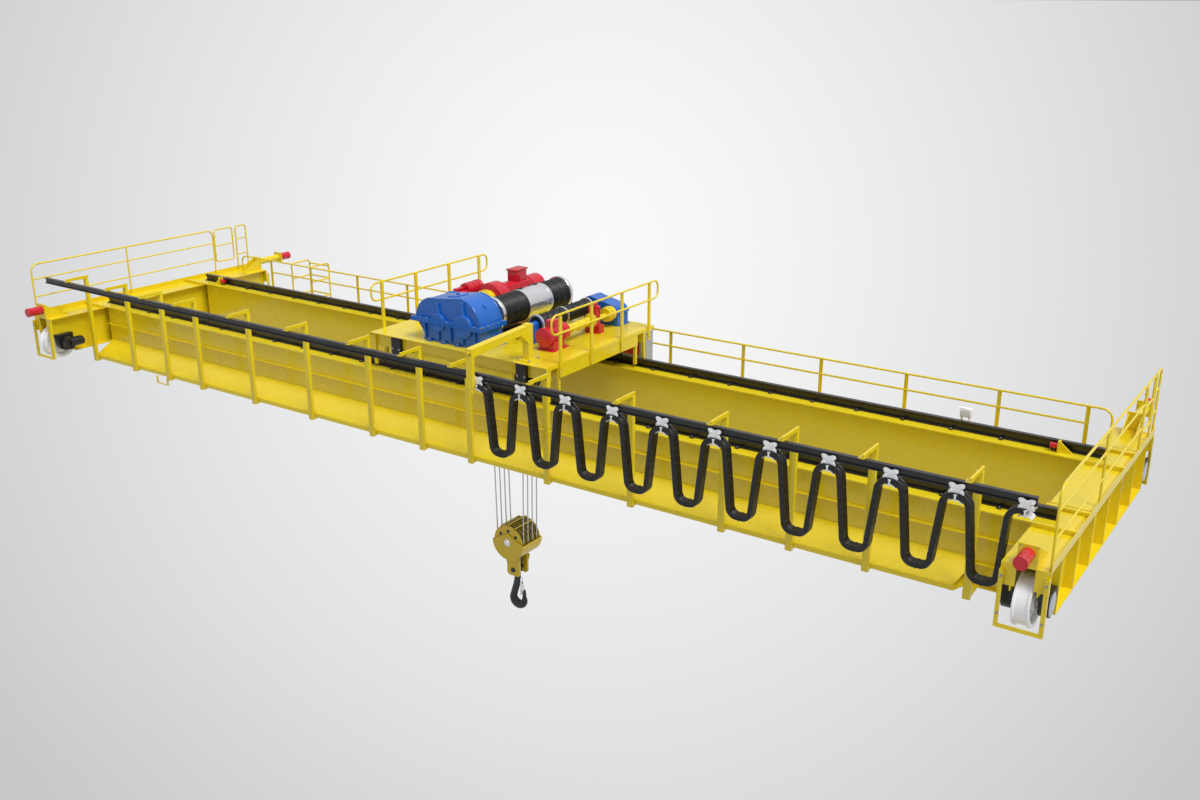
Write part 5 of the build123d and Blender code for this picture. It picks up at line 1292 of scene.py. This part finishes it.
# %% Small drives
def small_motor(name, axis, middle, radius, length, way, body):
    """Rings and a cowl over one small motor. Way is the end that holds the cowl."""
    rings = []
    for index in range(9):
        along = (index / 8 - 0.5) * length * 0.62
        outline = [(along - 0.004, radius - 0.004), (along - 0.003, radius + 0.009), (along + 0.003, radius + 0.009),
                   (along + 0.004, radius - 0.004)]
        rings.append(turned(axis, middle, outline, 36))
    end = way * length / 2
    cowl = [(end - way * 0.055, radius - 0.004), (end - way * 0.055, radius + 0.010),
            (end - way * 0.006, radius + 0.006), (end, radius * 0.92), (end + way * 0.001, radius * 0.5),
            (end - way * 0.003, radius * 0.48), (end - way * 0.003, 0.0)]
    settle(rings + [turned(axis, middle, cowl, 36)], name, "black_iron", body, 25)


low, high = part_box("bridge_drives")
small_motor("left_drive_cowl", "Y", (low[0] + 0.085, -2.335, 0.32), 0.085, 0.29, 1, "bridge")
small_motor("right_drive_cowl", "Y", (high[0] - 0.085, 2.335, 0.32), 0.085, 0.29, -1, "bridge")
low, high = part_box("trolley_drive")
drive_middle = (low[0] + 0.165, (low[1] + high[1]) / 2, high[2] - 0.105)
small_motor("trolley_drive_cowl", "X", drive_middle, 0.105, 0.33, -1, "trolley")
print("trolley drive at", drive_middle)

# %% [markdown]
# The bolts of each body become one piece, so that the many heads ride as one mesh.

# %% Bolts joined
for body, heads in bolt_rows.items():
    print("bolts on", body, len(heads))
    settle(heads, body + "_bolts", "bolt_steel", body, 30)
bpy.data.objects.remove(bolt)

# %% [markdown]
# The crane hangs over a pale studio floor that fills the picture, and that lies below the hook's lowest place. A
# painted pool of light runs over it, from nearly white in the middle of the picture to a cool grey at its edges. The
# camera sees part of it as its own glow, so the crane's shadow on it stays soft, while the crane itself is lit by a
# darker floor and keeps its contrast.

# %% Floor
floor_z, floor_half = -13.6, 2500
bright_spot, pool_reach, pool_power = (0.5, 0.6875, 0.0), (0.4875, 0.80, 1.0), 1.2
pool_light_white, pool_falloff_grey = (0.925, 0.925, 0.925, 1), (0.525, 0.531, 0.540, 1)
glow_share, glow_strength = 0.88, 1.1
floor_grey = (0.42, 0.42, 0.42, 1)

clear_selection()
bpy.ops.mesh.primitive_plane_add(size=2 * floor_half, location=(0, 0, floor_z))
floor = just_added()
floor.name = "floor"
tree, shader, _ = start_finish("studio_floor")
for label, value in (("Roughness", 0.9), ("Base Color", floor_grey), ("Specular IOR Level", 0.0)):
    shader[label].default_value = value
window = add(tree, "TexCoord", {}, "Window")
pool = add(tree, "Mapping", {"Vector": window, "Location": bright_spot, "Scale": pool_reach}, vector_type="TEXTURE")
flat = add(tree, "VectorMath", {0: pool, 1: (1, 1, 0)}, operation="MULTIPLY")
far = add(tree, "VectorMath", {0: flat}, "Value", operation="LENGTH")
fall = add(tree, "Math", {0: far, 1: pool_power}, operation="POWER")
# Painted pool of light: the glow is white at the bright spot in the picture and falls off to grey towards its edges.
pale = blend_colours(tree, spread(tree, fall, 0.0, 1.37, 0.0, 1.0), pool_light_white, pool_falloff_grey)
glow = add(tree, "Emission", {"Color": pale, "Strength": glow_strength})
ray = tree.nodes.new("ShaderNodeLightPath").outputs
looked_at = add(tree, "Math", {0: ray["Is Camera Ray"], 1: ray["Is Glossy Ray"]}, operation="MAXIMUM")
part = add(tree, "Math", {0: looked_at, 1: glow_share}, operation="MULTIPLY")
lit = tree.nodes["Principled BSDF"].outputs[0]
mixed = add(tree, "MixShader", {"Fac": part, 1: lit, 2: glow})
feed(tree, tree.nodes["Material Output"].inputs["Surface"], mixed)
floor.data.materials.append(finishes["studio_floor"])
print("floor at", floor_z)

# %% [markdown]
# A high sun with a wide disc is the key light, and a sky that is brighter overhead fills the shadows. The sky's
# gradient is also what the gloss paint reflects.

# %% Light
sun_strength, sun_disc = 2.3, math.radians(30)
sun_from = Vector((0.50, -0.10, 0.86))
sky_low, sky_high = (0.44, 0.445, 0.46, 1), (0.74, 0.745, 0.76, 1)

scene = bpy.context.scene
scene.view_settings.view_transform = "Standard"
scene.world = bpy.data.worlds.new("sky")
scene.world.use_nodes = True
sky = scene.world.node_tree
height = add(sky, "SeparateXYZ", {0: add(sky, "TexCoord", {}, "Generated")}, "Z")
rise = spread(sky, height, 0.0, 1.0, 0.0, 1.0)
feed(sky, sky.nodes["Background"].inputs["Color"], blend_colours(sky, rise, sky_low, sky_high))

sun = linked("sun", bpy.data.lights.new("sun", "SUN"))
sun.data.energy = sun_strength
sun.data.angle = sun_disc
sun.rotation_euler = sun_from.to_track_quat("Z", "Y").to_euler()
print("sun", sun_strength)
